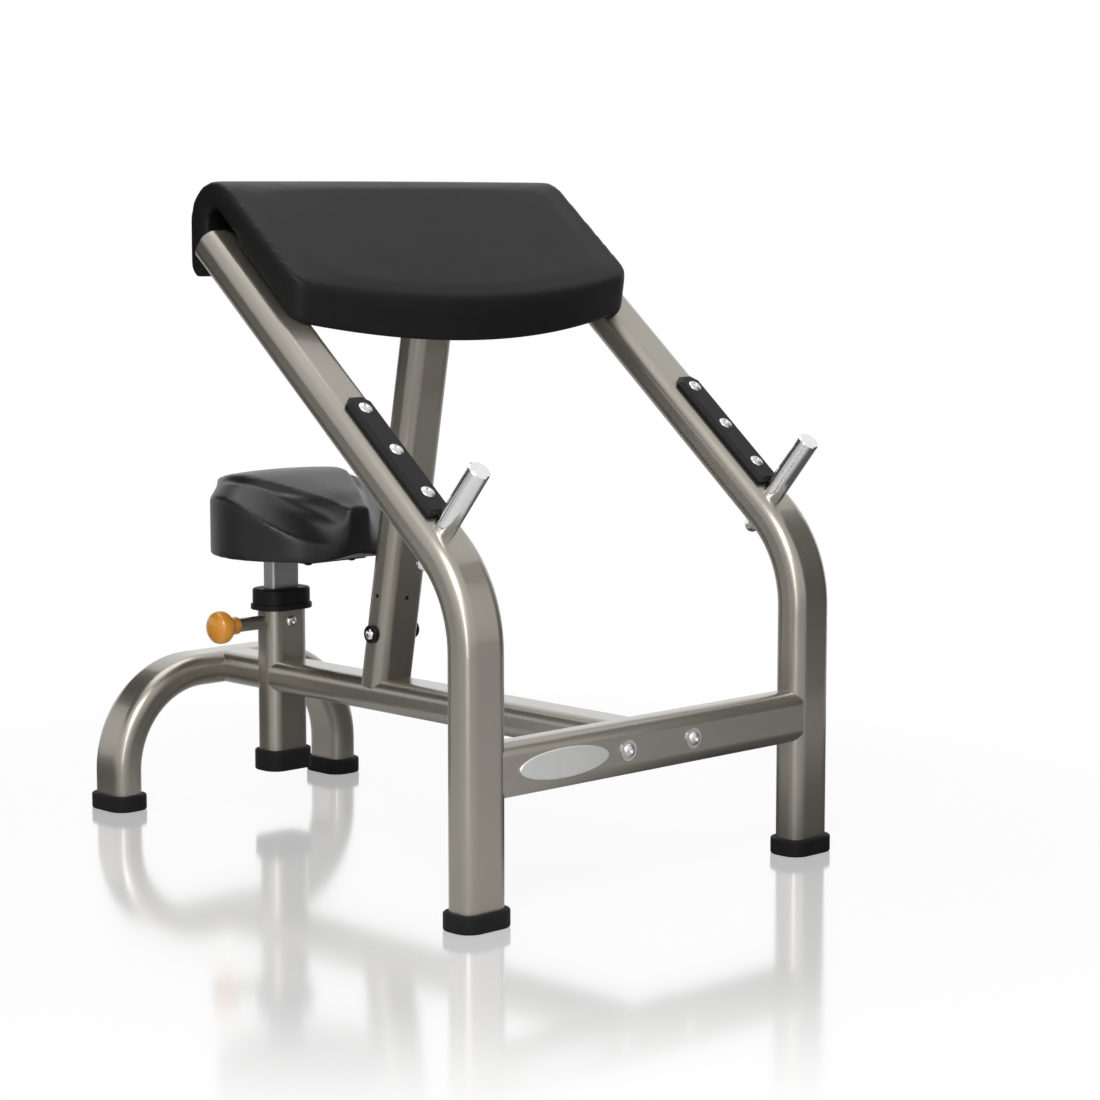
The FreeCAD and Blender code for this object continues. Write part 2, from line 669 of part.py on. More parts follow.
def pad_upright():
    """The leaning upright, the stub inside its foot, and the bolt through both."""
    run = "upright_top_place * cos(slope_angle * 1 deg) - foot_span + sleeve_setback + upright_gap"
    rise = f"slope_meet_height + upright_top_place * sin(slope_angle * 1 deg) - beam_height - {HALF_DEPTH}"
    foot = Vector(0, sleeve_y - number("upright_gap"), beam_z + half_depth)
    lean = Rotation(Vector(0, 0, 1), Vector(0, number(run), number(rise)))
    axis = lean.multVec(Vector(0, 0, 1))
    cross_place = number("upright_top_place - cross_tube_drop")

    def rail_outside(name):
        block_bar = frame_bar(name, "6 * tube_width")
        return put(block_bar, 0, foot.y - 6 * half_width, beam_z, ALONG_Y)

    def leaning(thing, rise, turn=Rotation(), x=0, depth=0):
        spot = foot + axis * rise + lean.multVec(Vector(x, depth, 0))
        thing.Placement = Placement(spot, lean * turn)
        return thing

    tube = leaning(frame_bar("upright_tube", f"sqrt(({run})^2 + ({rise})^2) + {COPE}", "tube_wall"), -cope)
    cross_outside = frame_bar("cross_outside", "4 * tube_width")
    on_slope(cross_outside, -4 * half_width, cross_place, 0, FLAT_ALONG_X)
    bolt_rise, vent_rise = number("upright_bolt_rise"), number("vent_hole_rise")
    through = "tube_width + 2 * overrun"

    def drill(name):
        bolt_hole = rod(name + "_bolt_hole", UPRIGHT_HOLE, through)
        leaning(bolt_hole, bolt_rise, ALONG_X, -half_width - overrun)
        side_vents = rod(name + "_side_vents", "vent_hole_size", through)
        leaning(side_vents, vent_rise, ALONG_X, -half_width - overrun)
        front_vent = rod(name + "_front_vent", "vent_hole_size", f"{HALF_DEPTH} + overrun")
        leaning(front_vent, vent_rise, ALONG_MINUS_Y)
        return rail_outside(name + "_rail"), bolt_hole, fuse(name + "_vents", side_vents, front_vent)

    node("pad_upright", cut("coped_upright", tube, cross_outside, *drill("upright")))

    inside = "tube_wall + fit_gap"
    stub = bar("stub_tube", f"tube_width - 2 * ({inside})", f"tube_depth - 2 * ({inside})",
               f"tube_corner - ({inside})", f"stub_length + {COPE}", "tube_wall")
    node("upright_stub", cut("coped_stub", leaning(stub, -cope), *drill("stub")))

    grip = "upright_washer_thick + upright_nut_height"
    bolt = rod("upright_rod", "upright_bolt_size", f"tube_width + 2 * ({grip})")
    node("upright_bolt", leaning(bolt, bolt_rise, ALONG_X, -half_width - number(grip)))
    washers, nuts = [], []
    for side, sign in SIDES:
        ring = cup_washer(side + "_upright_washer", "upright_washer_size", "upright_washer_thick",
                          "upright_bolt_size", "upright_cup_wall", "upright_cup_rim")
        washers.append(leaning(ring, bolt_rise, outward(sign), sign * half_width))
        nut = dome_nut(side + "_upright_nut", "upright_nut_size", "upright_nut_height", "upright_nut_dome",
                       "upright_bolt_size")
        seat = half_width + number("upright_washer_thick")
        nuts.append(leaning(nut, bolt_rise, outward(sign), sign * seat))
    node("upright_bolt_washers", group("upright_washer_set", washers))
    node("upright_dome_nuts", group("upright_nut_set", nuts))
    return cross_place


def pad_cross_tube(cross_place):
    """The tube across the slope, and the side brackets, that the arm pad's board is bolted to."""
    reach = f"leg_spread / 2 - tube_width / 2 + {COPE}"
    tube = frame_bar("cross_tube", f"2 * ({reach})", "tube_wall")
    on_slope(tube, -number(reach), cross_place, 0, FLAT_ALONG_X)
    tools, brackets, bolts, board_holes = [], [], [], []
    bolt_x = number("pad_bolt_spread / 2")
    place = number("bracket_place")
    thick = number("bracket_thick")
    for side, sign in SIDES:
        outside = frame_bar(side + "_slope_outside", "4 * tube_width")
        tools.append(on_slope(outside, sign * side_x, cross_place - 4 * half_width, 0, ALONG_Y))
        hole = rod(side + "_cross_hole", PAD_BOLT_HOLE, "tube_depth + 2 * overrun")
        tools.append(on_slope(hole, sign * bolt_x, cross_place, -half_depth - overrun))

        web = block(side + "_bracket_web", "bracket_thick", "bracket_length", f"{HALF_DEPTH} + bracket_thick")
        shelf = block(side + "_bracket_shelf", "bracket_reach", "bracket_length", "bracket_thick")
        low = place - number("bracket_length / 2")
        web_x = inner_x - thick if sign > 0 else -inner_x
        shelf_x = inner_x - number("bracket_reach") if sign > 0 else -inner_x
        on_slope(web, web_x, low, -thick)
        on_slope(shelf, shelf_x, low, half_depth - thick)
        hole_x = sign * (inner_x - number("bracket_reach") * BRACKET_HOLE_SHARE)
        bracket_hole = rod(side + "_bracket_hole", PAD_BOLT_HOLE, "bracket_thick + 2 * overrun")
        on_slope(bracket_hole, hole_x, place, half_depth - thick - overrun)
        brackets.append(cut(side + "_bracket", fuse(side + "_bracket_angle", web, shelf), bracket_hole))

        sizes = ("pad_bolt_size", "pad_bolt_head", "pad_bolt_head_height")
        long_bolt = hex_bolt(side + "_cross_bolt", *sizes, "tube_depth + pad_bolt_grip")
        bolts.append(on_slope(long_bolt, sign * bolt_x, cross_place, -half_depth))
        short_bolt = hex_bolt(side + "_bracket_bolt", *sizes, "bracket_thick + pad_bolt_grip")
        bolts.append(on_slope(short_bolt, hole_x, place, half_depth - thick))
        for name, x, along in (("cross", sign * bolt_x, cross_place), ("bracket", hole_x, place)):
            hole = rod(f"{side}_board_{name}_hole", PAD_BOLT_HOLE, "pad_bolt_grip + overrun")
            board_holes.append(on_slope(hole, x, along, half_depth - overrun))
    node("pad_cross_tube", cut("coped_cross_tube", tube, *tools))
    node("pad_side_brackets", group("bracket_set", brackets))
    node("arm_pad_bolts", group("pad_bolt_set", bolts))
    board = block("board_blank", BOARD_WIDTH, "board_back - board_front", "board_thick")
    on_slope(board, -number(BOARD_WIDTH) / 2, number("board_front"), half_depth)
    node("arm_pad_board", cut("drilled_board", board, *board_holes))


def line_and_arcs(points):
    """A closed wire through points; a point given with a middle point ends an arc through it."""
    edges = []
    start = points[-1][0]
    for point in points:
        if len(point) == 2:
            edges.append(Part.Arc(start, point[1], point[0]).toShape())
        else:
            edges.append(Part.LineSegment(start, point[0]).toShape())
        start = point[0]
    return Part.Wire(edges)


def pad_section(place_share, round_share, set_share):
    """The arm pad's outline, seen from its side, at one place across its width."""
    x = number("leg_spread / 2 + pad_overhang") * place_share
    drawn_in = number("pad_edge_round") * round_share
    bulge = number("pad_crown") * (1 - place_share ** 2) - drawn_in
    radius = number("pad_roll_radius") + bulge
    inner = number("pad_roll_radius - pad_roll_wall")
    under = number(f"{HALF_DEPTH} + soft_gap")
    slope = math.radians(number("slope_angle"))
    centre_y = leg_y + number("pad_roll_back - pad_roll_radius")
    centre_above = number(f"{HALF_DEPTH} + pad_rise - pad_roll_radius")
    centre_along = (centre_y - leg_y + centre_above * math.sin(slope)) / math.cos(slope)

    def spot(along, above):
        return meet + SLOPE.multVec(Vector(x, along, above))

    centre = spot(centre_along, centre_above)

    def around(reach, angle):
        return centre + Vector(0, math.cos(angle), math.sin(angle)) * reach

    def below(point, drop):
        return point - Vector(0, 0, drop)

    square_on = slope + math.pi / 2
    half_turn = square_on / 2
    bow = number("pad_front_bow") * place_share ** 2 + number("pad_corner_set") * set_share + drawn_in
    front_y = number("pad_front_place") + bow
    rounding = number("pad_front_round")
    top = centre_above + radius
    top_corner = (front_y + top * math.sin(slope)) / math.cos(slope)
    lean = number("pad_front_lean") + number("pad_side_lean") * place_share ** 2
    foot_corner = (front_y + lean + under * math.sin(slope)) / math.cos(slope)
    face = spot(foot_corner, under) - spot(top_corner, top)
    face_top = spot(top_corner, top) + face.normalize() * rounding
    corner_end = spot(top_corner + rounding, top)
    corner_middle = (spot(top_corner, top) + face_top + corner_end) / 3
    drop = number("pad_lip_drop")
    lip_radius = (radius - inner) / 2
    lip_centre = below(around(inner + lip_radius, 0), drop)

    def lip(angle):
        return lip_centre + Vector(0, math.cos(angle), math.sin(angle)) * lip_radius

    hollow = number("pad_hollow_start")
    hollow_above = centre_above + inner
    return line_and_arcs((
        (spot(foot_corner, under),),
        (face_top,),
        (corner_end, corner_middle),
        (around(radius, square_on),),
        (around(radius, 0), around(radius, half_turn)),
        (lip(0),),
        (lip(-math.pi / 2), lip(-math.pi / 4)),
        (lip(-math.pi), lip(-3 * math.pi / 4)),
        (around(inner, 0),),
        (around(inner, square_on), around(inner, half_turn)),
        (spot(hollow + number("pad_hollow_ramp"), hollow_above),),
        (spot(hollow, under),),
    ))


def arm_pad():
    """The arm pad: a crowned slab whose upper end rolls over and down behind the tube ends."""
    half = list(PAD_SHARES)
    other_half = [(-place, round_share, set_share) for place, round_share, set_share in reversed(half[1:])]
    wires = [pad_section(*shares) for shares in other_half + half]
    cushion = doc.addObject("Part::Feature", "arm_cushion")
    cushion.Shape = Part.makeLoft(wires, True, False)
    pocket = block("board_pocket", f"{BOARD_WIDTH} + 2 * soft_gap", "board_back - board_front + 2 * soft_gap",
                   "board_thick + soft_gap + overrun")
    gap = number("soft_gap")
    on_slope(pocket, -number(BOARD_WIDTH) / 2 - gap, number("board_front") - gap, half_depth - overrun)
    node("arm_pad", cut("hollowed_arm_pad", cushion, pocket))


def bar_rests():
    """Wear strips and round posts on the main tubes, with their fasteners."""
    places = strip_bolt_places()
    low = places[-1] - number("strip_foot_margin")
    length = f"{STRIP_BOLTS - 1} * strip_bolt_pitch + strip_top_margin + strip_foot_margin"
    bolts, washers, nuts = [], [], []
    strip_top = half_depth + number("strip_thick")
    for side, sign in SIDES:
        x = sign * side_x
        blank = block(side + "_strip_blank", "strip_width", length, "strip_thick")
        far = number(length)

        def upper_corner(edge):
            box = edge.BoundBox
            return box.ZLength > box.XLength + box.YLength and box.YMin > far / 2

        def top_rim(edge):
            box = edge.BoundBox
            return box.ZMin > number("strip_thick / 2")

        clipped = ease("Chamfer", side + "_strip_clipped", blank, "strip_corner", upper_corner)
        strip = ease("Chamfer", side + "_strip", clipped, "strip_bevel", top_rim)
        on_slope(strip, x - number("strip_width / 2"), low, half_depth)
        holes = []
        for index, place in enumerate(places):
            hole = rod(f"{side}_strip_bore_{index}", STRIP_HOLE, "strip_thick + 2 * overrun")
            holes.append(on_slope(hole, x, place, half_depth - overrun))
            bolt = button_bolt(f"{side}_strip_bolt_{index}", "strip_bolt_size", "strip_bolt_head",
                               "strip_bolt_dome", "strip_thick + tube_wall + strip_bolt_grip")
            bolts.append(on_slope(bolt, x, place, strip_top))
        node(side + "_wear_strip", cut(side + "_drilled_strip", strip, *holes))

        place = number("post_place")
        barrel = rod(side + "_post_barrel", "post_size", "post_height - post_edge")
        edge = primitive("Cone", side + "_post_edge", Radius1="post_size / 2",
                         Radius2="post_size / 2 - post_edge", Height="post_edge")
        stud = rod(side + "_post_stud", "post_stud_size", "tube_depth + post_washer_thick + post_nut_height")
        below = number("post_washer_thick + post_nut_height")
        on_slope(barrel, x, place, half_depth)
        on_slope(edge, x, place, half_depth + number("post_height - post_edge"))
        on_slope(stud, x, place, -half_depth - below)
        node(side + "_bar_post", fuse(side + "_post", barrel, edge, stud))
        ring = washer(side + "_post_washer", "post_washer_size", "post_washer_thick", "post_stud_size")
        washers.append(on_slope(ring, x, place, -half_depth, UPSIDE_DOWN))
        nut = dome_nut(side + "_post_nut", "post_nut_size", "post_nut_height", "post_nut_dome",
                       "post_stud_size")
        nuts.append(on_slope(nut, x, place, -half_depth - number("post_washer_thick"), UPSIDE_DOWN))
    node("wear_strip_bolts", group("strip_bolt_set", bolts))
    node("post_washers", group("post_washer_set", washers))
    node("post_dome_nuts", group("post_nut_set", nuts))


def seat_sleeve():
    """The upright sleeve, its lined collar, its bottom cap and the bolt that holds the collar."""
    pin_z = number("pin_height")
    top = number("sleeve_top")
    sleeve = frame_bar("sleeve_tube", "sleeve_top - sleeve_bottom", "tube_wall")
    put(sleeve, 0, sleeve_y, number("sleeve_bottom"))

    def cross_holes(name, reach):
        pin_hole = rod(name + "_pin_hole", "pin_size + 2 * fit_gap", f"{reach} + overrun")
        bolt_hole = rod(name + "_bolt_hole", "guide_bolt_size + 2 * fit_gap", f"{reach} + overrun")
        put(pin_hole, 0, sleeve_y, pin_z, ALONG_MINUS_X)
        put(bolt_hole, 0, sleeve_y, pin_z, ALONG_MINUS_Y)
        return fuse(name, pin_hole, bolt_hole)

    node("seat_sleeve", cut("drilled_sleeve", sleeve, cross_holes("sleeve_holes", "tube_width / 2")))

    cap = bar("collar_cap_bar", "tube_width + 2 * collar_wall", "tube_depth + 2 * collar_wall",
              "tube_corner + collar_wall", "collar_drop + collar_cap")
    cap = ease("Fillet", "collar_rounded_cap", cap, "collar_round", level_rim)
    put(cap, 0, sleeve_y, top - number("collar_drop"))
    lip_wall = "collar_wall + collar_lip"
    lip = bar("collar_lip_bar", f"tube_width + 2 * ({lip_wall})", f"tube_depth + 2 * ({lip_wall})",
              f"tube_corner + {lip_wall}", "collar_lip_height")
    lip = ease("Fillet", "collar_rounded_lip", lip, "collar_lip / 2", level_rim)
    put(lip, 0, sleeve_y, top - number("collar_drop"))
    cap = fuse("collar_outside", cap, lip)
    skirt = bar("collar_skirt", "tube_width + 2 * fit_gap", "tube_depth + 2 * fit_gap",
                "tube_corner + fit_gap", "collar_drop + overrun")
    put(skirt, 0, sleeve_y, top - number("collar_drop + overrun"))
    inside = "tube_wall + fit_gap"
    liner = bar("collar_liner", f"tube_width - 2 * ({inside})", f"tube_depth - 2 * ({inside})",
                f"tube_corner - ({inside})", "liner_length + collar_cap / 2")
    put(liner, 0, sleeve_y, top - number("liner_length"))
    passage = bar("collar_passage", "seat_post_width + 2 * slide_gap", "seat_post_depth + 2 * slide_gap",
                  "seat_post_corner + slide_gap", "liner_length + collar_cap + 2 * overrun")
    put(passage, 0, sleeve_y, top - number("liner_length + overrun"))
    collar = fuse("collar_body", cut("collar_shell", cap, skirt), liner)
    bores = fuse("collar_bores", passage, cross_holes("collar_holes", "tube_width / 2"))
    node("sleeve_collar", cut("bored_collar", collar, bores))

    boot = cup("sleeve_boot", "tube_width", "tube_depth", "cap_wall", "boot_floor", "cap_height")
    node("sleeve_bottom_cap", put(boot, 0, sleeve_y, number("sleeve_bottom - boot_floor")))

    shank = f"{HALF_DEPTH} - seat_post_depth / 2 - 2 * slide_gap"
    bolt = button_bolt("guide_bolt", "guide_bolt_size", "guide_bolt_head", "guide_bolt_dome", shank)
    node("sleeve_guide_bolt", put(bolt, 0, sleeve_y - half_depth, pin_z, ALONG_MINUS_Y))


def pull_pin():
    """The spring pull pin: a barrel on the sleeve, and a plunger with a knob that slides in it."""
    pin_z = number("pin_height")
    tip = "seat_post_width / 2 + pin_tip_clear"
    shoulder = "tube_width / 2 + guide_length + pin_throw + pin_gap"
    spring_end = "barrel_reach - barrel_end_wall"

    def out_from_axis(thing, distance):
        return put(thing, -distance, sleeve_y, pin_z, ALONG_MINUS_X)

    barrel = out_from_axis(rod("barrel_bar", "barrel_size", "barrel_reach"), 0)
    chamber_start = "tube_width / 2 + guide_length"
    guide = rod("barrel_guide", "pin_size + 2 * pin_gap", f"{chamber_start} + pin_throw / 2")
    out_from_axis(guide, 0)
    chamber = rod("barrel_chamber", "barrel_bore", f"{spring_end} - ({chamber_start})")
    out_from_axis(chamber, number(chamber_start))
    rod_bore = rod("barrel_rod_bore", "pin_rod_size + 2 * pin_gap", "2 * barrel_end_wall + overrun")
    out_from_axis(rod_bore, number("barrel_reach - 2 * barrel_end_wall"))
    bores = fuse("barrel_bores", guide, chamber, rod_bore)
    node("pin_barrel", cut("bored_barrel", barrel, bores, sleeve_outside("sleeve_for_barrel")))

    knob_start = "barrel_reach - knob_lap"
    recess = "knob_lap + pin_throw + knob_end_clear"
    recess_end = f"{knob_start} + {recess}"
    point = primitive("Cone", "plunger_point", Radius1="pin_size / 2 - pin_tip_bevel",
                      Radius2="pin_size / 2", Height="pin_tip_bevel")
    out_from_axis(point, number(tip))
    nose = rod("plunger_nose", "pin_size", f"{shoulder} - ({tip}) - pin_tip_bevel")
    out_from_axis(nose, number(f"{tip} + pin_tip_bevel"))
    stop = out_from_axis(rod("plunger_stop", "pin_collar_size", "pin_collar_thick"), number(shoulder))
    stem = rod("plunger_stem", "pin_rod_size", f"{recess_end} + knob_grip - ({shoulder})")
    out_from_axis(stem, number(shoulder))
    node("pin_plunger", fuse("plunger", point, nose, stop, stem))

    coil_start = f"{shoulder} + pin_collar_thick + slide_gap"
    coil = rod("spring_outside", "spring_size", f"{spring_end} - ({coil_start})")
    out_from_axis(coil, number(coil_start))
    hollow = rod("spring_inside", "spring_bore", "barrel_reach")
    out_from_axis(hollow, number(shoulder))
    node("pin_spring", cut("spring_tube", coil, hollow))

    neck = out_from_axis(rod("knob_neck", "knob_neck_size", "knob_neck_length"), number(knob_start))
    flare = primitive("Cone", "knob_flare_cone", Radius1="knob_neck_size / 2", Radius2="knob_size / 2",
                      Height="knob_flare")
    out_from_axis(flare, number(f"{knob_start} + knob_neck_length"))
    head_length = "knob_length - knob_neck_length - knob_flare - knob_dome"
    head = rod("knob_head", "knob_size", head_length)
    out_from_axis(head, number(f"{knob_start} + knob_neck_length + knob_flare"))
    crown = dome_cap("knob_crown", "knob_dome", "knob_size / 2")
    out_from_axis(crown, number(f"{knob_start} + knob_length - knob_dome"))
    cavity = rod("knob_recess", "barrel_size + 2 * knob_gap", f"{recess} + overrun")
    out_from_axis(cavity, number(f"{knob_start} - overrun"))
    socket = rod("knob_socket", "pin_rod_size", "knob_grip + overrun")
    out_from_axis(socket, number(f"{recess_end} - overrun"))
    blank = fuse("knob_blank", neck, flare, head, crown)
    flare_end = -number(f"{knob_start} + knob_neck_length + knob_flare")

    def shoulder_rim(edge):
        box = edge.BoundBox
        return box.XLength < number("fit_gap") and abs(box.XMin - flare_end) < number("fit_gap")

    shape = ease("Fillet", "knob_shape", blank, "knob_round", shoulder_rim)
    node("pin_knob", cut("hollowed_knob", shape, fuse("knob_bores", cavity, socket)))


def seat_outline(height, front_wide, rear_wide, front_reach, rear_reach, corner):
    """One level outline of the seat pad, a tapered shape with rounded corners."""
    half_wide, half_long = number("seat_width / 2"), number("seat_length / 2")
    middle_y = sleeve_y - number("seat_setback")
    z = number("seat_base_height") + number("seat_rise") * height
    front, rear = middle_y - half_long * front_reach, middle_y + half_long * rear_reach
    radius = half_wide * corner
    corners = (
        Vector(-half_wide * front_wide, front, z), Vector(half_wide * front_wide, front, z),
        Vector(half_wide * rear_wide, rear, z), Vector(-half_wide * rear_wide, rear, z),
    )
    points = []
    for index, spot in enumerate(corners):
        back = (corners[index - 1] - spot).normalize()
        ahead = (corners[(index + 1) % 4] - spot).normalize()
        half_angle = back.getAngle(ahead) / 2
        room = CORNER_ROOM_SHARE * half_wide * min(front_wide, rear_wide)
        inset = min(radius / math.tan(half_angle), room)
        arc_radius = inset * math.tan(half_angle)
        middle = (back + ahead).normalize() * (arc_radius / math.sin(half_angle) - arc_radius)
        points.append((spot + back * inset,))
        points.append((spot + ahead * inset, spot + middle))
    return line_and_arcs(points)


def seat():
    """The sliding seat: post, glide, plate, board, pad and bolts."""
    base = number("seat_base_height")
    plate_z = base - number("seat_plate_thick")
    bottom = number("seat_post_bottom")
    middle_y = sleeve_y - number("seat_setback")
    post = bar("seat_post_tube", "seat_post_width", "seat_post_depth", "seat_post_corner",
               "seat_base_height - seat_plate_thick - seat_post_bottom", "seat_post_wall")
    put(post, 0, sleeve_y, bottom)
    holes = []
    for step in range(SEAT_STEPS + 1):
        hole = rod(f"post_hole_{step}", "pin_size + 2 * fit_gap", "seat_post_width / 2 + overrun")
        holes.append(put(hole, 0, sleeve_y, number(f"pin_height - {step} * hole_pitch"), ALONG_MINUS_X))
    node("seat_post", cut("drilled_post", post, *holes))

    inside = "tube_wall + slide_gap"
    glide = bar("glide_block", f"tube_width - 2 * ({inside})", f"tube_depth - 2 * ({inside})",
                f"tube_corner - ({inside})", "glide_height")
    put(glide, 0, sleeve_y, bottom - number("glide_floor"))
    socket = bar("glide_socket", "seat_post_width", "seat_post_depth", "seat_post_corner", "glide_height")
    node("post_glide", cut("socketed_glide", glide, put(socket, 0, sleeve_y, bottom)))

    plate = block("plate_blank", "seat_plate_width", "seat_plate_length", "seat_plate_thick")
    put(plate, -number("seat_plate_width / 2"), middle_y - number("seat_plate_length / 2"), plate_z)
    board_rule = ("seat_board_width", "seat_board_length", "seat_board_corner", "seat_board_thick")
    board = put(bar("seat_board_blank", *board_rule), 0, middle_y, base)
    bolts, plate_holes, board_holes = [], [], []
    for side, sign in SIDES:
        for end, way in (("front", -1), ("rear", 1)):
            x = sign * number("seat_plate_width / 2 - seat_bolt_inset")
            y = middle_y + way * number("seat_plate_length / 2 - seat_bolt_inset")
            name = f"{end}_{side}_seat_bolt"
            bolt = button_bolt(name, "seat_bolt_size", "seat_bolt_head", "seat_bolt_dome",
                               "seat_plate_thick + seat_bolt_grip")
            bolts.append(put(bolt, x, y, plate_z, UPSIDE_DOWN))
            for holes, kind in ((plate_holes, "plate"), (board_holes, "board")):
                hole = rod(f"{name}_{kind}_hole", "seat_bolt_size + 2 * fit_gap",
                           "seat_plate_thick + seat_bolt_grip + overrun")
                holes.append(put(hole, x, y, plate_z - overrun))
    node("seat_plate", cut("drilled_plate", plate, *plate_holes))
    node("seat_board", cut("drilled_seat_board", board, *board_holes))
    node("seat_bolts", group("seat_bolt_set", bolts))

    cushion = doc.addObject("Part::Feature", "seat_cushion")
    cushion.Shape = Part.makeLoft([seat_outline(*shares) for shares in SEAT_SHARES], True, False)
    pocket = bar("seat_board_pocket", "seat_board_width + 2 * soft_gap", "seat_board_length + 2 * soft_gap",
                 "seat_board_corner + soft_gap", "seat_board_thick + soft_gap + overrun")
    put(pocket, 0, middle_y, base - overrun)
    node("seat_pad", cut("hollowed_seat_pad", cushion, pocket))


main_tubes()
front_crossmember()
base_rails()
rear_foot_arch()
foot_boots()
pad_cross_tube(pad_upright())
arm_pad()
bar_rests()
seat_sleeve()
pull_pin()
seat()
doc.recompute()

for thing in doc.Objects:
    if {"Invalid", "Error"} & set(thing.State):
        raise RuntimeError(f"{thing.Label} failed: {thing.State}")
for thing in nodes:
    if thing.Shape.isNull() or not thing.Shape.isValid() or not thing.Shape.Solids:
        raise RuntimeError(f"{thing.Label} has no valid solid")
os.makedirs("parts", exist_ok=True)
for thing in nodes:
    thing.Shape.exportStep(f"parts/{thing.Label}.step")
    print(f"{thing.Label}: {len(thing.Shape.Solids)} solid(s), {thing.Shape.Volume / 1000:.1f} cm3")
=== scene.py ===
# %% [markdown]
# # A preacher curl bench
# The bench is a bent-tube frame with a sloped arm pad, two bar rests and a seat that slides in a sleeve.
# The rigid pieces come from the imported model, already in metres and in place, so this lesson spends its
# time on what a solid model leaves out: soft cushions, a coil spring, a turned knob, finishes and light.

# %% Load the frame
import json
import math

import bmesh
import bpy
from mathutils import Matrix, Vector


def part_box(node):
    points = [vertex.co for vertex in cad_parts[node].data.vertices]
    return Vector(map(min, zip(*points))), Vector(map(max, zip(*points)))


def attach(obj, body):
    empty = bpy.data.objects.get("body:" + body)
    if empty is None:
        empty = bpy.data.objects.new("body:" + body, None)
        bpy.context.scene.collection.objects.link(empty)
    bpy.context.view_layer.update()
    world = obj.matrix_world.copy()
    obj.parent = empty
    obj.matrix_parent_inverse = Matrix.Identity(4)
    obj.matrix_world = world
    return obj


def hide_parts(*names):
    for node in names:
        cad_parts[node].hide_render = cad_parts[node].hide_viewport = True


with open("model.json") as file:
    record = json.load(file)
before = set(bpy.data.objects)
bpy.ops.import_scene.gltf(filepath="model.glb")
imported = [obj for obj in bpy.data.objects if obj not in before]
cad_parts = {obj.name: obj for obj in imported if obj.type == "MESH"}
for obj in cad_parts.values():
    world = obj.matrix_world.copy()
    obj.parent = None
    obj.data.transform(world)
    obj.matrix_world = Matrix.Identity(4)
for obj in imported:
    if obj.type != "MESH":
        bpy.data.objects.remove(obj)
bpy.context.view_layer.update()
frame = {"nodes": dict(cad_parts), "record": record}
scene = bpy.context.scene
nodes = frame["nodes"]

# %% [markdown]
# ## Camera
# The photograph looks at the front left corner from a little above the arm pad's lower edge. The camera
# was fitted to the edges of the frame tubes, so its place and lens are written here as found. A long
# lens keeps the legs nearly parallel, as they are in the picture.

# %% Camera
SENSOR_WIDTH = 36.0
LENS = 94.61
CAMERA_PLACE = (-2.8827, -3.2737, 0.9717)
CAMERA_TILT = math.radians(83.024)
CAMERA_TURN = math.radians(-44.0)
camera_data = bpy.data.cameras.new("bench_camera")
camera_data.sensor_width = SENSOR_WIDTH
camera_data.lens = LENS
camera = bpy.data.objects.new("bench_camera", camera_data)
camera.location = CAMERA_PLACE
camera.rotation_euler = (CAMERA_TILT, 0.0, CAMERA_TURN)
scene.collection.objects.link(camera)
scene.camera = camera
scene.view_settings.view_transform = "Standard"
print("camera", round(camera.location.length, 3), "m from the bench's middle")

# %% [markdown]
# ## Writing shader maths as Python
# A finish is easier to read as an expression than as a chain of nodes. This class wraps one socket.
# Its operators add Math nodes, and its one method adds any other node with settings and inputs.


# %% Sockets with operators
class Wire:
    """One shader socket, joined to others by Python's own operators."""

    def __init__(self, tree, socket=None):
        self.tree = tree
        self.socket = socket

    def node(self, kind, settings=None, sockets=None, out=0):
        """Add a node: its settings first, then the values or links of its sockets."""
        made = self.tree.nodes.new("ShaderNode" + kind)
        for name, value in (settings or {}).items():
            setattr(made, name, value)
        for name, value in (sockets or {}).items():
            if isinstance(value, Wire):
                self.tree.links.new(value.socket, made.inputs[name])
            else:
                made.inputs[name].default_value = value
        return Wire(self.tree, made.outputs[out] if made.outputs else None)

    def math(self, operation, first, second):
        return self.node("Math", {"operation": operation}, {0: first, 1: second})

    def __add__(self, other):
        return self.math("ADD", self, other)

    def __sub__(self, other):
        return self.math("SUBTRACT", self, other)

    def __rsub__(self, other):
        return self.math("SUBTRACT", other, self)

    def __mul__(self, other):
        return self.math("MULTIPLY", self, other)

    __radd__ = __add__
    __rmul__ = __mul__


# %% Helpers for finishes
def grey(level):
    """A neutral colour."""
    return (level, level, level, 1.0)


def mix(first, second, share):
    """A colour between two others; the share is a wire. Sockets 6 and 7 are the node's colour pair."""
    return share.node("Mix", {"data_type": "RGBA"}, {0: share, 6: first, 7: second}, 2)


def start_finish(name):
    """An empty material: a wire into its nodes, and the object's own coordinates."""
    material = bpy.data.materials.new(name)
    material.use_nodes = True
    material.node_tree.nodes.clear()
    desk = Wire(material.node_tree)
    return material, desk, desk.node("TexCoord", out="Object")


def end_finish(material, desk, surface):
    """Join a shader to the material's output."""
    desk.node("OutputMaterial", {}, {"Surface": surface})
    print("finish", material.name, "has", len(material.node_tree.nodes), "nodes")
    return material


def stretch(desk, place, scale):
    """The coordinates, stretched by a scale for each axis."""
    return desk.node("Mapping", {}, {"Vector": place, "Scale": scale})


def noise(desk, place, scale, detail=2.0, rough=0.5):
    """Soft cloudy noise from 0 to 1."""
    return desk.node("TexNoise", {}, {"Vector": place, "Scale": scale, "Detail": detail, "Roughness": rough})


def cells(desk, place, scale, feature="F1"):
    """Distance to the nearest of many scattered points, or to the edge between two."""
    return desk.node("TexVoronoi", {"feature": feature}, {"Vector": place, "Scale": scale})


def bump(desk, height, strength, distance):
    """A bumped normal from a height."""
    return desk.node("Bump", {}, {"Height": height, "Strength": strength, "Distance": distance})


finishes = {}

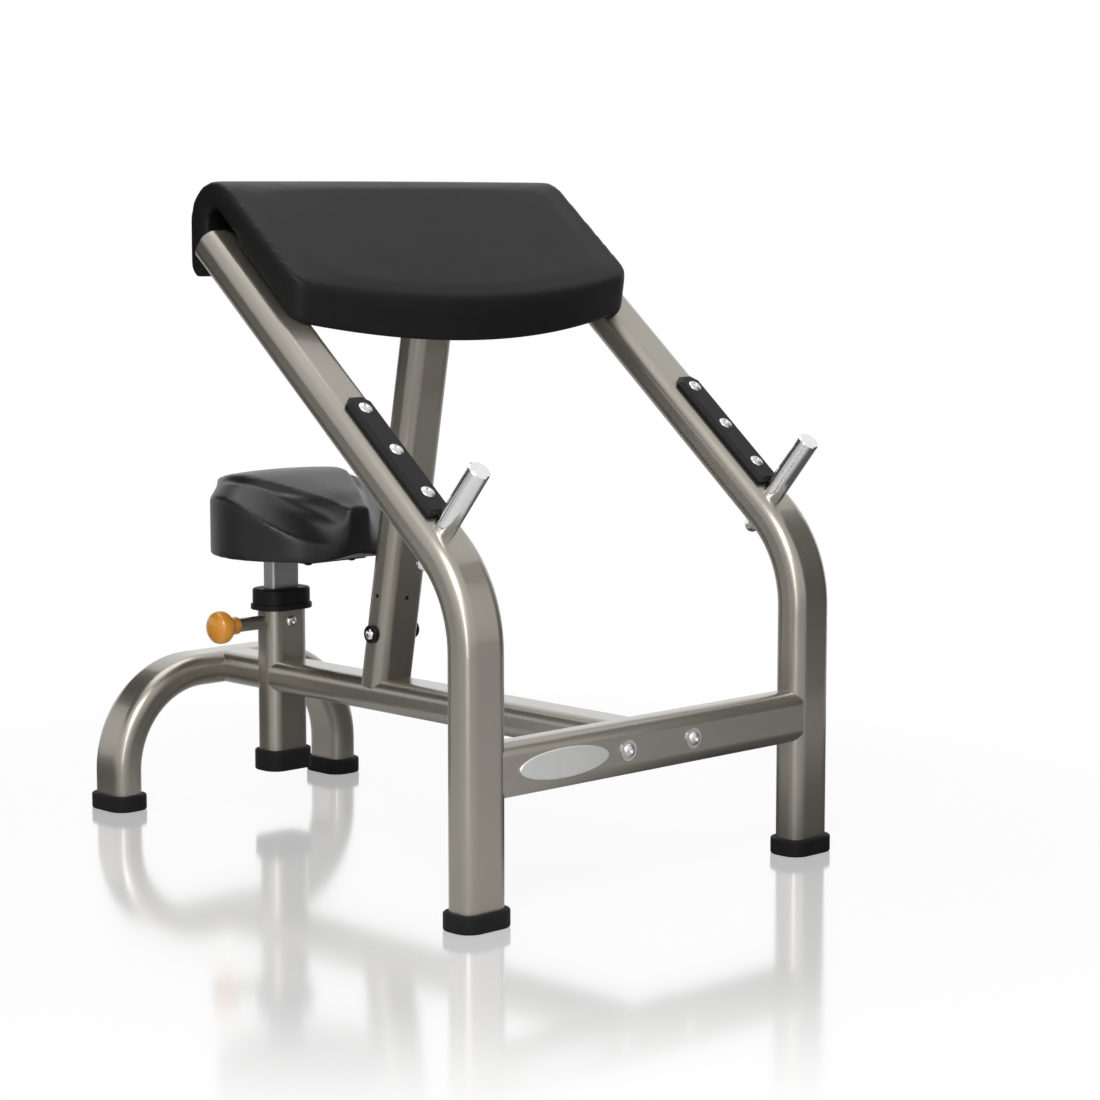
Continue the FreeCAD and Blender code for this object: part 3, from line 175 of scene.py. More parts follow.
# %% [markdown]
# ## Powder-coated tube
# The tubes carry a warm pewter powder coat with metal flake under a clear top coat. A plain metal shader
# would look like bare steel, so the flake varies the base colour and roughness at half a millimetre, a
# slow ripple gives the coat's orange peel, and the shader's own coat layer gives the crisp highlight.


# %% Frame paint
def frame_paint():
    """Metal flake under a clear coat."""
    material, desk, place = start_finish("pewter_powder_coat")
    flake = cells(desk, place, scale=1600.0)
    ripple = noise(desk, place, scale=260.0, detail=1.0)
    drift = noise(desk, place, scale=7.0, detail=3.0)
    dark, light = (0.27, 0.249, 0.21, 1.0), (0.365, 0.341, 0.294, 1.0)
    surface = desk.node("BsdfPrincipled", {}, {
        "Base Color": mix(dark, light, flake * 0.6 + drift * 0.4),
        "Metallic": 0.9,
        "Roughness": 0.27 + drift * 0.08 + flake * 0.05,
        "Coat Weight": 0.85,
        "Coat Roughness": 0.09,
        "Normal": bump(desk, ripple, strength=0.05, distance=0.0006),
    })
    return end_finish(material, desk, surface)


finishes["frame_paint"] = frame_paint()

# %% [markdown]
# ## Rubber and black plastic
# Boots and the bottom cap are matte rubber; the collar, plugs and wear strips are moulded plastic with a
# fine spark grain, and the washers are blackened steel. All are nearly black, so what tells them apart is
# roughness: rubber scatters light evenly and picks up dust, while plastic keeps a soft sheen on its edges.


# %% Black mouldings
def black_moulding(name, shade, rough, grain, dust):
    """A nearly black surface with a fine grain and a little dust."""
    material, desk, place = start_finish(name)
    fine = cells(desk, place, scale=grain)
    patch = noise(desk, place, scale=35.0, detail=4.0, rough=0.6)
    dark = (shade, shade, shade * 1.02, 1.0)
    pale = (shade + dust, shade + dust, shade + dust * 0.95, 1.0)
    surface = desk.node("BsdfPrincipled", {}, {
        "Base Color": mix(dark, pale, patch * patch),
        "Roughness": rough + patch * 0.12,
        "Specular IOR Level": 0.18,
        "Normal": bump(desk, fine, strength=0.25, distance=0.0002),
    })
    return end_finish(material, desk, surface)


finishes["black_rubber"] = black_moulding("black_rubber", shade=0.006, rough=0.6, grain=900.0, dust=0.006)
finishes["black_plastic"] = black_moulding("black_plastic", shade=0.006, rough=0.42, grain=1400.0, dust=0.005)
finishes["black_steel"] = black_moulding("black_oxide_steel", shade=0.008, rough=0.36, grain=1800.0, dust=0.008)

# %% [markdown]
# ## Plated and bare metal
# The posts and dome nuts are chrome, the bolts are zinc plated, the seat post is drawn satin steel and the
# badge is pale brushed metal. One function makes them all: the brushing is noise stretched along one
# axis, which changes roughness and a slight bump, and chrome simply has almost none of it.

# %% Metals
BRUSHED_UP = (1.0, 1.0, 0.03)
BRUSHED_ACROSS = (0.03, 1.0, 1.0)
UNBRUSHED = (1.0, 1.0, 1.0)


def bare_metal(name, colour, rough, brushing, along):
    """Metal with brush lines and faint smudges."""
    material, desk, place = start_finish(name)
    lines = noise(desk, stretch(desk, place, along), scale=900.0)
    smudge = noise(desk, place, scale=28.0, detail=4.0, rough=0.6)
    darker = (colour[0] * 0.86, colour[1] * 0.86, colour[2] * 0.86, 1.0)
    surface = desk.node("BsdfPrincipled", {}, {
        "Base Color": mix(darker, (*colour, 1.0), smudge),
        "Metallic": 1.0,
        "Roughness": rough + lines * brushing + smudge * 0.04,
        "Normal": bump(desk, lines, strength=brushing * 0.4, distance=0.0002),
    })
    return end_finish(material, desk, surface)


finishes["bright_chrome"] = bare_metal("bright_chrome", (0.86, 0.86, 0.87), 0.035, 0.02, BRUSHED_UP)
finishes["zinc_steel"] = bare_metal("zinc_steel", (0.66, 0.66, 0.65), 0.2, 0.12, UNBRUSHED)
finishes["satin_steel"] = bare_metal("satin_steel", (0.5, 0.5, 0.51), 0.32, 0.18, BRUSHED_UP)
finishes["pale_metal"] = bare_metal("pale_badge_metal", (0.78, 0.78, 0.77), 0.3, 0.2, BRUSHED_ACROSS)

# %% [markdown]
# ## Amber knob
# The knob is a gloss moulding in a deep amber. Real moulded colour is a little darker where the plastic
# is thick, so a slow noise shifts the tone and a fine one breaks the gloss.


# %% Amber plastic
def amber_plastic():
    """Glossy amber with slow flow marks."""
    material, desk, place = start_finish("amber_plastic")
    flow = noise(desk, place, scale=40.0, detail=3.0)
    fine = noise(desk, place, scale=900.0)
    surface = desk.node("BsdfPrincipled", {}, {
        "Base Color": mix((0.6, 0.21, 0.012, 1.0), (0.78, 0.33, 0.025, 1.0), flow),
        "Roughness": 0.24 + fine * 0.12,
        "Coat Weight": 0.35,
        "Coat Roughness": 0.12,
        "Normal": bump(desk, fine, strength=0.05, distance=0.0003),
    })
    return end_finish(material, desk, surface)


finishes["amber_plastic"] = amber_plastic()

# %% [markdown]
# ## Plywood
# The boards inside the cushions are plywood. Their edges show layers, so a wave in the thickness
# direction bands the colour and stretched noise draws the grain on the faces.

# %% Plywood
GRAIN_STRETCH = (4.0, 60.0, 60.0)


def plywood():
    """Grain along the bench's width, and layers in the height."""
    material, desk, place = start_finish("birch_plywood")
    grain = noise(desk, stretch(desk, place, GRAIN_STRETCH), scale=8.0, detail=5.0, rough=0.65)
    layer = desk.node("TexWave", {"bands_direction": "Z"},
                      {"Vector": place, "Scale": 190.0, "Distortion": 1.5})
    surface = desk.node("BsdfPrincipled", {}, {
        "Base Color": mix((0.3, 0.19, 0.1, 1.0), (0.56, 0.41, 0.25, 1.0), grain * 0.75 + layer * 0.25),
        "Roughness": 0.62 + grain * 0.2,
        "Normal": bump(desk, grain, strength=0.2, distance=0.0006),
    })
    return end_finish(material, desk, surface)


finishes["plywood"] = plywood()

# %% [markdown]
# ## Vinyl
# Both cushions are covered in fine-grained vinyl: black on the arm pad, dark grey on the seat. The grain is
# a field of millimetre cells pressed into the surface. Wider noise makes the faint waves of a cover that
# is pulled over foam, and polishes some places more than others.

# %% Vinyl
PEBBLE_SCALE = 620.0


def vinyl(name, low, high, rough, shine):
    """A pebbled cover with faint waves and worn places."""
    material, desk, place = start_finish(name)
    pebble = cells(desk, place, PEBBLE_SCALE, "SMOOTH_F1")
    groove = cells(desk, place, PEBBLE_SCALE, "DISTANCE_TO_EDGE")
    wave = noise(desk, place, scale=9.0, detail=3.0)
    worn = noise(desk, place, scale=45.0, detail=5.0, rough=0.6)
    height = groove * 0.7 + wave * 2.2 + worn * 0.25
    surface = desk.node("BsdfPrincipled", {}, {
        "Base Color": mix(low, high, pebble * 0.55 + worn * 0.45),
        "Roughness": rough + worn * 0.1 - wave * 0.06,
        "Specular IOR Level": shine,
        "Normal": bump(desk, height, strength=0.22, distance=0.0008),
    })
    return end_finish(material, desk, surface)


finishes["black_vinyl"] = vinyl("black_vinyl", low=(0.003, 0.003, 0.0031, 1.0), high=(0.009, 0.009, 0.0092, 1.0),
                                rough=0.44, shine=0.17)
finishes["grey_vinyl"] = vinyl("dark_grey_vinyl", low=(0.006, 0.0058, 0.0067, 1.0),
                               high=(0.018, 0.0174, 0.02, 1.0), rough=0.32, shine=0.36)

# %% [markdown]
# ## Giving each node its finish
# The record lists a material slot for each node, so one table from slot to finish dresses the whole frame.
# Only the objects' material slots change: the meshes stay exactly as packed.

# %% Dress the frame
for part in frame["record"]["subparts"]:
    mesh = nodes[part["node"]].data
    mesh.materials.clear()
    mesh.materials.append(finishes[part["material_slot"]])

# %% [markdown]
# ## Small helpers for new pieces
# A new piece is a bmesh that becomes an object at the origin, with its place in its mesh. The helper gives
# it smooth faces and the finish of its slot, joins it to the body that it moves with and hides the node that
# it stands in for.

# %% From bmesh to piece
VERT = bmesh.types.BMVert
EDGE = bmesh.types.BMEdge
ACROSS = (1.0, 0.0, 0.0)
MERGE_REACH = 1e-5


def only(kind, items):
    """The points, or the edges, among what an operator made."""
    return [item for item in items if isinstance(item, kind)]


def tidy(bm):
    """Merge doubled points and turn every face outwards."""
    bmesh.ops.remove_doubles(bm, verts=bm.verts, dist=MERGE_REACH)
    bmesh.ops.recalc_face_normals(bm, faces=bm.faces)


def shade_smooth(mesh):
    """Shade every face of a mesh as part of a round form."""
    mesh.polygons.foreach_set("use_smooth", [True] * len(mesh.polygons))


def piece(name, bm, slot, body, node):
    """Make an object of a bmesh that rides on a body in the place of a node."""
    mesh = bpy.data.meshes.new(name)
    bm.to_mesh(mesh)
    bm.free()
    shade_smooth(mesh)
    mesh.materials.append(finishes[slot])
    made = bpy.data.objects.new(name, mesh)
    scene.collection.objects.link(made)
    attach(made, body)
    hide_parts(node)
    print("made", name, "with", len(mesh.polygons), "faces")
    return made


# %% [markdown]
# ## How a cushion gets its softness
# A pad is foam in a tight cover. A plain block with round edges looks like plastic, so the block is
# remeshed into even squares and blown up a little by a cloth simulation, with the underside held still.
# Each point's travel is capped, so the pad keeps the measured size and only its softness is new.


# %% Remesh and relax
def use_modifiers(thing):
    """Put what the modifiers make into the object's own mesh."""
    graph = bpy.context.evaluated_depsgraph_get()
    graph.update()
    made = bpy.data.meshes.new_from_object(thing.evaluated_get(graph))
    thing.modifiers.clear()
    old = thing.data
    thing.data = made
    bpy.data.meshes.remove(old)


def even_mesh(blank, voxel):
    """Turn a rough closed mesh into one of even squares."""
    remesh = blank.modifiers.new("even", "REMESH")
    remesh.mode = "VOXEL"
    remesh.voxel_size = voxel
    use_modifiers(blank)


def relax(pad, rounds):
    """Even out a pad's points with bmesh's own smoothing."""
    bm = bmesh.new()
    bm.from_mesh(pad.data)
    for step in range(rounds):
        bmesh.ops.smooth_vert(bm, verts=bm.verts, factor=0.5, use_axis_x=True, use_axis_y=True, use_axis_z=True)
    bm.to_mesh(pad.data)
    bm.free()


def smoothstep(low, high, value):
    """0 below low, 1 above high and smooth in between."""
    share = min(1.0, max(0.0, (value - low) / (high - low)))
    return share * share * (3 - 2 * share)


# %% Cushion simulation
COVER_PRESSURE = 4.0
COVER_STIFFNESS = 25.0
COVER_BENDING = 4.0
LAST_FRAME = 20


def inflate(pad, held, cap):
    """Blow a pad up with cloth, keep held points still and no point further off than the cap."""
    start = [vertex.co.copy() for vertex in pad.data.vertices]
    group = pad.vertex_groups.new(name="held")
    group.add([index for index, spot in enumerate(start) if held(spot)], 1.0, "REPLACE")
    cloth = pad.modifiers.new("cover", "CLOTH")
    cloth.settings.vertex_group_mass = "held"
    cloth.settings.use_pressure = True
    cloth.settings.uniform_pressure_force = COVER_PRESSURE
    cloth.settings.tension_stiffness = COVER_STIFFNESS
    cloth.settings.compression_stiffness = COVER_STIFFNESS
    cloth.settings.bending_stiffness = COVER_BENDING
    cloth.settings.effector_weights.gravity = 0.0
    cloth.collision_settings.use_collision = False
    for step in range(1, LAST_FRAME + 1):
        scene.frame_set(step)
    use_modifiers(pad)
    scene.frame_set(1)
    furthest = 0.0
    for vertex, rest in zip(pad.data.vertices, start):
        travel = vertex.co - rest
        furthest = max(furthest, travel.length)
        if travel.length > cap:
            vertex.co = rest + travel * (cap / travel.length)
    print(pad.name, "swelled by up to", round(furthest * 1000, 1), "mm, capped at", round(cap * 1000, 1))


# %% [markdown]
# ## Arm pad
# The arm pad lies on the sloped tubes, and its upper end rolls over and down behind their ends. Its side
# outline is walked as a ladder of edges: a spin makes the roll, and extruded edges make the lip behind it
# and the slab in front. Places on it are given along the slope and off the tubes' centre lines.

# %% Arm pad outline
SLOPE = math.radians(39.8)
MEET = Vector((0.0, -0.487, 0.4527))
UP_SLOPE = Vector((0.0, math.cos(SLOPE), math.sin(SLOPE)))
OFF_SLOPE = Vector((0.0, -math.sin(SLOPE), math.cos(SLOPE)))
PAD_HALF = 0.3335
PAD_TOP = 0.0762
PAD_UNDER = 0.0258
ROLL_ALONG = 0.7329
ROLL_ABOVE = 0.0204
ROLL_HOLLOW = 0.015
ROLL_STEPS = 14
HOLLOW_TOP = ROLL_ABOVE + ROLL_HOLLOW
LIP_DROP = 0.0845
LIP_ROUND = 0.0195
FRONT_ROUND = 0.006
PAD_RUNGS = (
    ((0.677, PAD_TOP), (0.677, HOLLOW_TOP)),
    ((0.664, PAD_TOP), (0.664, PAD_UNDER)),
    ((0.4891, PAD_TOP), (0.4497, PAD_UNDER)),
)


def on_slope(x, along, above):
    """A point by its distance up the slope and off the tubes' centre lines."""
    return Vector((x, 0.0, 0.0)) + MEET + UP_SLOPE * along + OFF_SLOPE * above


def slope_place(point):
    """How far a point is up the slope and off the tubes' centre lines."""
    return (point - MEET).dot(UP_SLOPE), (point - MEET).dot(OFF_SLOPE)


def round_points(bm, points, reach):
    """Round some corners of a flat outline."""
    bmesh.ops.bevel(bm, geom=points, offset=reach, offset_type="OFFSET", segments=4, profile=0.5,
                    affect="VERTICES", material=-1)


def pad_outline(bm):
    """Walk the left side of the pad: the roll and its lip one way, the slab the other way."""
    outer = bm.verts.new(on_slope(-PAD_HALF, ROLL_ALONG, PAD_TOP))
    inner = bm.verts.new(on_slope(-PAD_HALF, ROLL_ALONG, HOLLOW_TOP))
    rung = bm.edges.new((outer, inner))
    spun = bmesh.ops.spin(bm, geom=[rung], cent=on_slope(-PAD_HALF, ROLL_ALONG, ROLL_ABOVE), axis=ACROSS,
                          steps=ROLL_STEPS, angle=-(SLOPE + math.pi / 2), use_merge=False)
    lip = bmesh.ops.extrude_edge_only(bm, edges=only(EDGE, spun["geom_last"]))["geom"]
    lip_ends = only(VERT, lip)
    bmesh.ops.translate(bm, verts=lip_ends, vec=(0.0, 0.0, -LIP_DROP))
    for outer_place, inner_place in PAD_RUNGS:
        made = bmesh.ops.extrude_edge_only(bm, edges=[rung])["geom"]
        rung = only(EDGE, made)[0]
        inner, outer = sorted(rung.verts, key=lambda vertex: slope_place(vertex.co)[1])
        outer.co = on_slope(-PAD_HALF, *outer_place)
        inner.co = on_slope(-PAD_HALF, *inner_place)
    round_points(bm, lip_ends, LIP_ROUND)
    round_points(bm, [outer], FRONT_ROUND)


# %% [markdown]
# The outline is extruded across the bench and its rims are beveled. Outside, the cover is pulled tight
# over the foam's edge. Inside, where it is stapled to the board, its edge is a little rounder.

# %% Arm pad blank
ROLL_CENTRE = on_slope(0.0, ROLL_ALONG, ROLL_ABOVE)
ON_TOP = 0.05
NEAR = 0.004
FRONT_ZONE = 0.52
OUTER_ROUND = 0.012
INNER_ROUND = 0.014
RIM_ANGLE = 0.8
SAME_X = 1e-6


def is_side_rim(edge):
    """Whether an edge runs round one of the pad's flat sides."""
    on_one_side = abs(edge.verts[0].co.x - edge.verts[1].co.x) < SAME_X
    return on_one_side and len(edge.link_faces) == 2 and edge.calc_face_angle() > RIM_ANGLE


def on_the_outside(edge):
    """Whether an edge belongs to the top, the front or the outer side of the roll and its lip."""
    middle = (edge.verts[0].co + edge.verts[1].co) / 2
    along, above = slope_place(middle)
    behind = middle.y > ROLL_CENTRE.y + 2 * ROLL_HOLLOW
    return above > ON_TOP or behind or (along < FRONT_ZONE and above > PAD_UNDER + NEAR)


def arm_pad_blank():
    """The pad before it is softened, with its front edge still straight."""
    bm = bmesh.new()
    pad_outline(bm)
    across = bmesh.ops.extrude_face_region(bm, geom=list(bm.faces))["geom"]
    bmesh.ops.translate(bm, verts=only(VERT, across), vec=(2 * PAD_HALF, 0.0, 0.0))
    tidy(bm)
    side_rims = [edge for edge in bm.edges if is_side_rim(edge)]
    outer_rims = [edge for edge in side_rims if on_the_outside(edge)]
    inner_rims = [edge for edge in side_rims if edge not in outer_rims]
    for rims, reach in ((outer_rims, OUTER_ROUND), (inner_rims, INNER_ROUND)):
        bmesh.ops.bevel(bm, geom=[edge for edge in rims if edge.is_valid], offset=reach, offset_type="OFFSET",
                        segments=4, profile=0.5, affect="EDGES", material=-1, clamp_overlap=True)
    tidy(bm)
    return bm


arm_pad = piece("arm_pad_cushion", arm_pad_blank(), "black_vinyl", "frame", "arm_pad")

# %% [markdown]
# The front edge bows towards the hands, its corners are round and its sides lean in below. All three are a
# smooth slide of points up the slope, so they are done on the even mesh, before the cover is blown up. The
# top is crowned a little too, as foam is under a cover that is pulled down at the sides.

# %% Arm pad form
PAD_CORNER = 0.026
PAD_BOW = 0.0456
PAD_LEAN = 0.0104
PAD_CROWN = 0.003
ROLL_OUTSIDE = 0.045
BOW_RUN = (0.5, 0.66)


def from_roll(point):
    """How far a point is from the roll's middle line."""
    return (point.yz - ROLL_CENTRE.yz).length


def front_slide(x):
    """How far the front edge lies up the slope at one place across the pad."""
    past = max(0.0, min(1.0, (abs(x) - PAD_HALF + PAD_CORNER) / PAD_CORNER))
    return PAD_BOW * (x / PAD_HALF) ** 2 + PAD_CORNER * (1 - math.sqrt(1 - past ** 2))


def form_pad(pad):
    """Crown the top, bow the front edge and lean the front corners in."""
    for vertex in pad.data.vertices:
        along, above = slope_place(vertex.co)
        outwards = vertex.co - ROLL_CENTRE
        outwards.x = 0.0
        if along < ROLL_ALONG:
            outwards = OFF_SLOPE.copy()
        if above > ON_TOP or (along > ROLL_ALONG and from_roll(vertex.co) > ROLL_OUTSIDE):
            vertex.co += outwards.normalized() * PAD_CROWN * (1 - (vertex.co.x / PAD_HALF) ** 2)
        depth = (PAD_TOP - above) / (PAD_TOP - PAD_UNDER)
        slide = front_slide(vertex.co.x) + PAD_LEAN * depth * (vertex.co.x / PAD_HALF) ** 2
        vertex.co += UP_SLOPE * slide * (1 - smoothstep(*BOW_RUN, along))


# %% Soften the arm pad
PAD_VOXEL = 0.0056
PAD_SWELL = 0.002
UNDER_HELD = 0.002
SIDE_HELD = 0.026
FRONT_HELD = 0.5
BEHIND_ENDS = 0.69
TUBE_END = 0.709


def pad_rests(spot):
    """Whether a point lies on the tubes, in the hollow behind their ends or on a rim, and keeps still."""
    along, above = slope_place(spot)
    in_hollow = from_roll(spot) < ROLL_HOLLOW + NEAR
    before_lip = spot.y < ROLL_CENTRE.y + ROLL_HOLLOW + NEAR
    behind_ends = along > BEHIND_ENDS and spot.z < ROLL_CENTRE.z and before_lip
    on_side = abs(spot.x) > PAD_HALF - SIDE_HELD
    at_front = along < FRONT_HELD + front_slide(spot.x)
    return above < PAD_UNDER + UNDER_HELD or in_hollow or behind_ends or on_side or at_front


def rest_on_tubes(pad):
    """Lift any point that sank into the tubes back to the underside."""
    for vertex in pad.data.vertices:
        along, above = slope_place(vertex.co)
        if along < TUBE_END and above < PAD_UNDER:
            vertex.co += OFF_SLOPE * (PAD_UNDER - above)


even_mesh(arm_pad, PAD_VOXEL)
form_pad(arm_pad)
relax(arm_pad, 2)
inflate(arm_pad, pad_rests, PAD_SWELL)
relax(arm_pad, 2)
rest_on_tubes(arm_pad)

# %% [markdown]
# ## Seat
# The seat is a saddle: wide and level behind, with a narrow nose between the thighs and a scooped flank on
# each side. A grid is pressed into a round outline, each point gets the saddle's height, and the grid is
# extruded down to the base. The crease between top and flank is a line of places along the seat, each with
# its half width and height, and its corners are eased so that the vinyl has no facets.

# %% Seat surface
SEAT_MIDDLE = Vector((0.0, 0.278, 0.0))
SEAT_RADIUS = 0.1445
CREASE = ((0.138, 0.018, 0.488), (0.155, 0.026, 0.5), (0.175, 0.036, 0.5105), (0.203, 0.052, 0.518),
          (0.285, 0.1, 0.54), (0.345, 0.095, 0.537), (0.43, 0.06, 0.52))
CREASE_EASE = 0.022
SEAT_CROWN = 0.003
NOSE_RUN = (0.15, 0.28)
NOSE_FALL = 0.058
REAR_FALL = 0.034
NARROWEST_FLANK = 0.004
TINY = 1e-8


def crease_line(y):
    """Half width and height of the crease's straight runs at one place along the seat."""
    if y <= CREASE[0][0]:
        return CREASE[0][1:]
    for (y0, x0, z0), (y1, x1, z1) in zip(CREASE, CREASE[1:]):
        if y <= y1:
            share = (y - y0) / (y1 - y0)
            return x0 + (x1 - x0) * share, z0 + (z1 - z0) * share
    return CREASE[-1][1:]


def crease_at(y):
    """The crease with its corners eased: the mean of its runs a little before and after one place."""
    near = [crease_line(y + step * CREASE_EASE) for step in (-1.0, -0.5, 0.0, 0.5, 1.0)]
    return [sum(values) / len(near) for values in zip(*near)]


def seat_height(x, y):
    """Height of the saddle at one place."""
    half, top = crease_at(y)
    out = abs(x)
    if out < half:
        return top + SEAT_CROWN * (1 - (out / half) ** 2)
    reach = math.sqrt(max(SEAT_RADIUS ** 2 - (y - SEAT_MIDDLE.y) ** 2, TINY))
    share = min(1.0, (out - half) / max(reach - half, NARROWEST_FLANK))
    nose = 1 - smoothstep(*NOSE_RUN, y)
    gentle = REAR_FALL * share
    steep = NOSE_FALL * (1 - (1 - share) ** 2)
    return top - gentle * (1 - nose) - steep * nose


# %% Seat blank
SEAT_BASE = 0.411
SEAT_SQUARES = 56
RIM_RUN = (0.135, 0.162)
RIM_HALF = 0.07
RIM_RISE = 0.01


def seat_blank():
    """The saddle before it is softened, with its lower rim raised a little under the nose."""
    bm = bmesh.new()
    bmesh.ops.create_grid(bm, x_segments=SEAT_SQUARES, y_segments=SEAT_SQUARES, size=1.0)
    for vertex in bm.verts:
        u, v = vertex.co.x, vertex.co.y
        x = SEAT_RADIUS * u * math.sqrt(1 - v * v / 2)
        y = SEAT_MIDDLE.y + SEAT_RADIUS * v * math.sqrt(1 - u * u / 2)
        vertex.co = (x, y, seat_height(x, y))
    lower = bmesh.ops.extrude_face_region(bm, geom=list(bm.faces))["geom"]
    for vertex in only(VERT, lower):
        front = (1 - smoothstep(*RIM_RUN, vertex.co.y)) * (1 - smoothstep(0.0, RIM_HALF, abs(vertex.co.x)))
        vertex.co.z = SEAT_BASE + RIM_RISE * front
    tidy(bm)
    return bm


seat = piece("seat_cushion", seat_blank(), "grey_vinyl", "seat", "seat_pad")

# %% [markdown]
# The cover folds in just under the rear part of the crease. A fold narrower than the remesh's squares would
# be lost in the simulation, so it is pressed in afterwards, as a groove that fades out at both ends.

# %% Soften the seat
SEAT_VOXEL = 0.004
SEAT_SWELL = 0.004
BASE_HELD = 0.004
CREASE_HELD = 0.005
CREASE_DEPTH = 0.02
FOLD_OUT = 0.007
FOLD_REACH = 0.01
FOLD_DEPTH = 0.009
FOLD_ROOM = 0.03
FOLD_START = (0.19, 0.25)
FOLD_END = (0.29, 0.36)


def seat_rests(spot):
    """Whether a point lies on the base or along the crease, and keeps still."""
    half, top = crease_at(spot.y)
    on_crease = abs(abs(spot.x) - half) < CREASE_HELD and spot.z > top - CREASE_DEPTH
    return spot.z < SEAT_BASE + BASE_HELD or on_crease


def press_fold(pad):
    """Press a narrow fold in the flank, just under the crease's rear part."""
    for vertex in pad.data.vertices:
        half, top = crease_at(vertex.co.y)
        off = abs(abs(vertex.co.x) - half - FOLD_OUT)
        if vertex.co.z > top - FOLD_ROOM:
            length = smoothstep(*FOLD_START, vertex.co.y) * (1 - smoothstep(*FOLD_END, vertex.co.y))
            vertex.co.z -= FOLD_DEPTH * length * (1 - smoothstep(0.0, FOLD_REACH, off))


even_mesh(seat, SEAT_VOXEL)
relax(seat, 2)
inflate(seat, seat_rests, SEAT_SWELL)
press_fold(seat)
relax(seat, 1)

# %% [markdown]
# Under each cushion lies its board, so each cushion has a pocket there. A Boolean with a block a little
# larger than the board cuts it after the simulation and one subdivision, when the underside is final.
# Cut any earlier, its crisp edges would be rounded away.

# %% Board pockets
BOARD_CLEARANCE = 0.0006
SHARP_ANGLE = math.radians(50)


def board_room(board):
    """A block a little larger than a board, as a tool for a Boolean."""
    bm = bmesh.new()
    bm.from_mesh(nodes[board].data)
    tidy(bm)
    low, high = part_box(board)
    middle = (Vector(low) + Vector(high)) / 2
    room = Matrix.Diagonal((*[1 + 2 * BOARD_CLEARANCE / (b - a) for a, b in zip(low, high)], 1.0))
    about_middle = Matrix.Translation(middle) @ room @ Matrix.Translation(-middle)
    bmesh.ops.transform(bm, matrix=about_middle, verts=bm.verts)
    mesh = bpy.data.meshes.new(board + "_room")
    bm.to_mesh(mesh)
    bm.free()
    tool = bpy.data.objects.new(board + "_room", mesh)
    scene.collection.objects.link(tool)
    return tool


def cut_pocket(pad, board):
    """Cut the room for a board out of a cushion."""
    tool = board_room(board)
    pocket = pad.modifiers.new("pocket", "BOOLEAN")
    pocket.operation = "DIFFERENCE"
    pocket.object = tool
    use_modifiers(pad)
    bpy.data.objects.remove(tool)
    pad.data.set_sharp_from_angle(angle=SHARP_ANGLE)
    print(pad.name, "has", len(pad.data.polygons), "faces round the room for", board)


for pad, board in ((arm_pad, "arm_pad_board"), (seat, "seat_board")):
    finer = pad.modifiers.new("finer", "SUBSURF")
    finer.levels = 1
    finer.render_levels = 1
    use_modifiers(pad)
    shade_smooth(pad.data)
    cut_pocket(pad, board)

# %% [markdown]
# ## Pull knob
# The knob is a turned mushroom: a slim neck, a flare and a domed head. A spin of its half outline about the
# pin's axis gives an even, closed surface, with the room for the barrel's end in the neck.

# %% Pull knob
PIN_PLACE = Vector((0.0, 0.3323, 0.2965))
KNOB_STEPS = 64
KNOB_OUTLINE = (
    (0.105, 0.004), (0.105, 0.0118), (0.0906, 0.0118), (0.0905, 0.0132), (0.0913, 0.014), (0.1005, 0.0141),
    (0.104, 0.0152), (0.1085, 0.0185), (0.1125, 0.0228), (0.1165, 0.0252), (0.121, 0.026), (0.127, 0.0258),
    (0.132, 0.024), (0.1355, 0.0205), (0.138, 0.0145), (0.1396, 0.0075), (0.14, 0.0),
)


def turned(row, centre, axis, steps):
    """Spin a row of points all the way round an axis."""
    bm = bmesh.new()
    verts = [bm.verts.new(point) for point in row]
    edges = [bm.edges.new(pair) for pair in zip(verts, verts[1:])]
    bmesh.ops.spin(bm, geom=verts + edges, cent=centre, axis=axis, steps=steps, angle=2 * math.pi,
                   use_merge=True)
    tidy(bm)
    return bm


knob_row = [PIN_PLACE + Vector((-distance, 0.0, radius)) for distance, radius in KNOB_OUTLINE]
knob_blank = turned(knob_row, PIN_PLACE, ACROSS, KNOB_STEPS)
piece("amber_pull_knob", knob_blank, "amber_plastic", "pull_pin", "pin_knob")

# %% [markdown]
# ## Pin spring
# Inside the barrel a compression spring pushes the pin home. A spin that also moves along its axis winds
# a small circle into a coil, which is quicker and cleaner than a curve with a bevel.

# %% Pin spring
SPRING_START = 0.0667
SPRING_END = 0.0852
SPRING_RADIUS = 0.006
SPRING_WIRE = 0.00115
SPRING_TURNS = 4
STEPS_A_TURN = 28
WIRE_SIDES = 10


def coil_spring():
    """Wind the wire's circle about the pin, and close its two ends."""
    bm = bmesh.new()
    centre = PIN_PLACE + Vector((-SPRING_START - SPRING_WIRE, 0.0, SPRING_RADIUS))
    quarter = math.pi / 2
    turn = Matrix.Translation(centre) @ Matrix.Rotation(quarter, 4, "Y") @ Matrix.Rotation(quarter, 4, "X")
    ring = bmesh.ops.create_circle(bm, segments=WIRE_SIDES, radius=SPRING_WIRE, matrix=turn)["verts"]
    steps = STEPS_A_TURN * SPRING_TURNS
    pitch = (SPRING_END - SPRING_START - 2 * SPRING_WIRE) / steps
    bmesh.ops.spin(bm, geom=ring + list(bm.edges), cent=PIN_PLACE, axis=ACROSS, dvec=(-pitch, 0.0, 0.0),
                   steps=steps, angle=2 * math.pi * SPRING_TURNS, use_merge=False)
    bmesh.ops.holes_fill(bm, edges=[edge for edge in bm.edges if edge.is_boundary], sides=WIRE_SIDES)
    tidy(bm)
    return bm


piece("coiled_pin_spring", coil_spring(), "zinc_steel", "frame", "pin_spring")
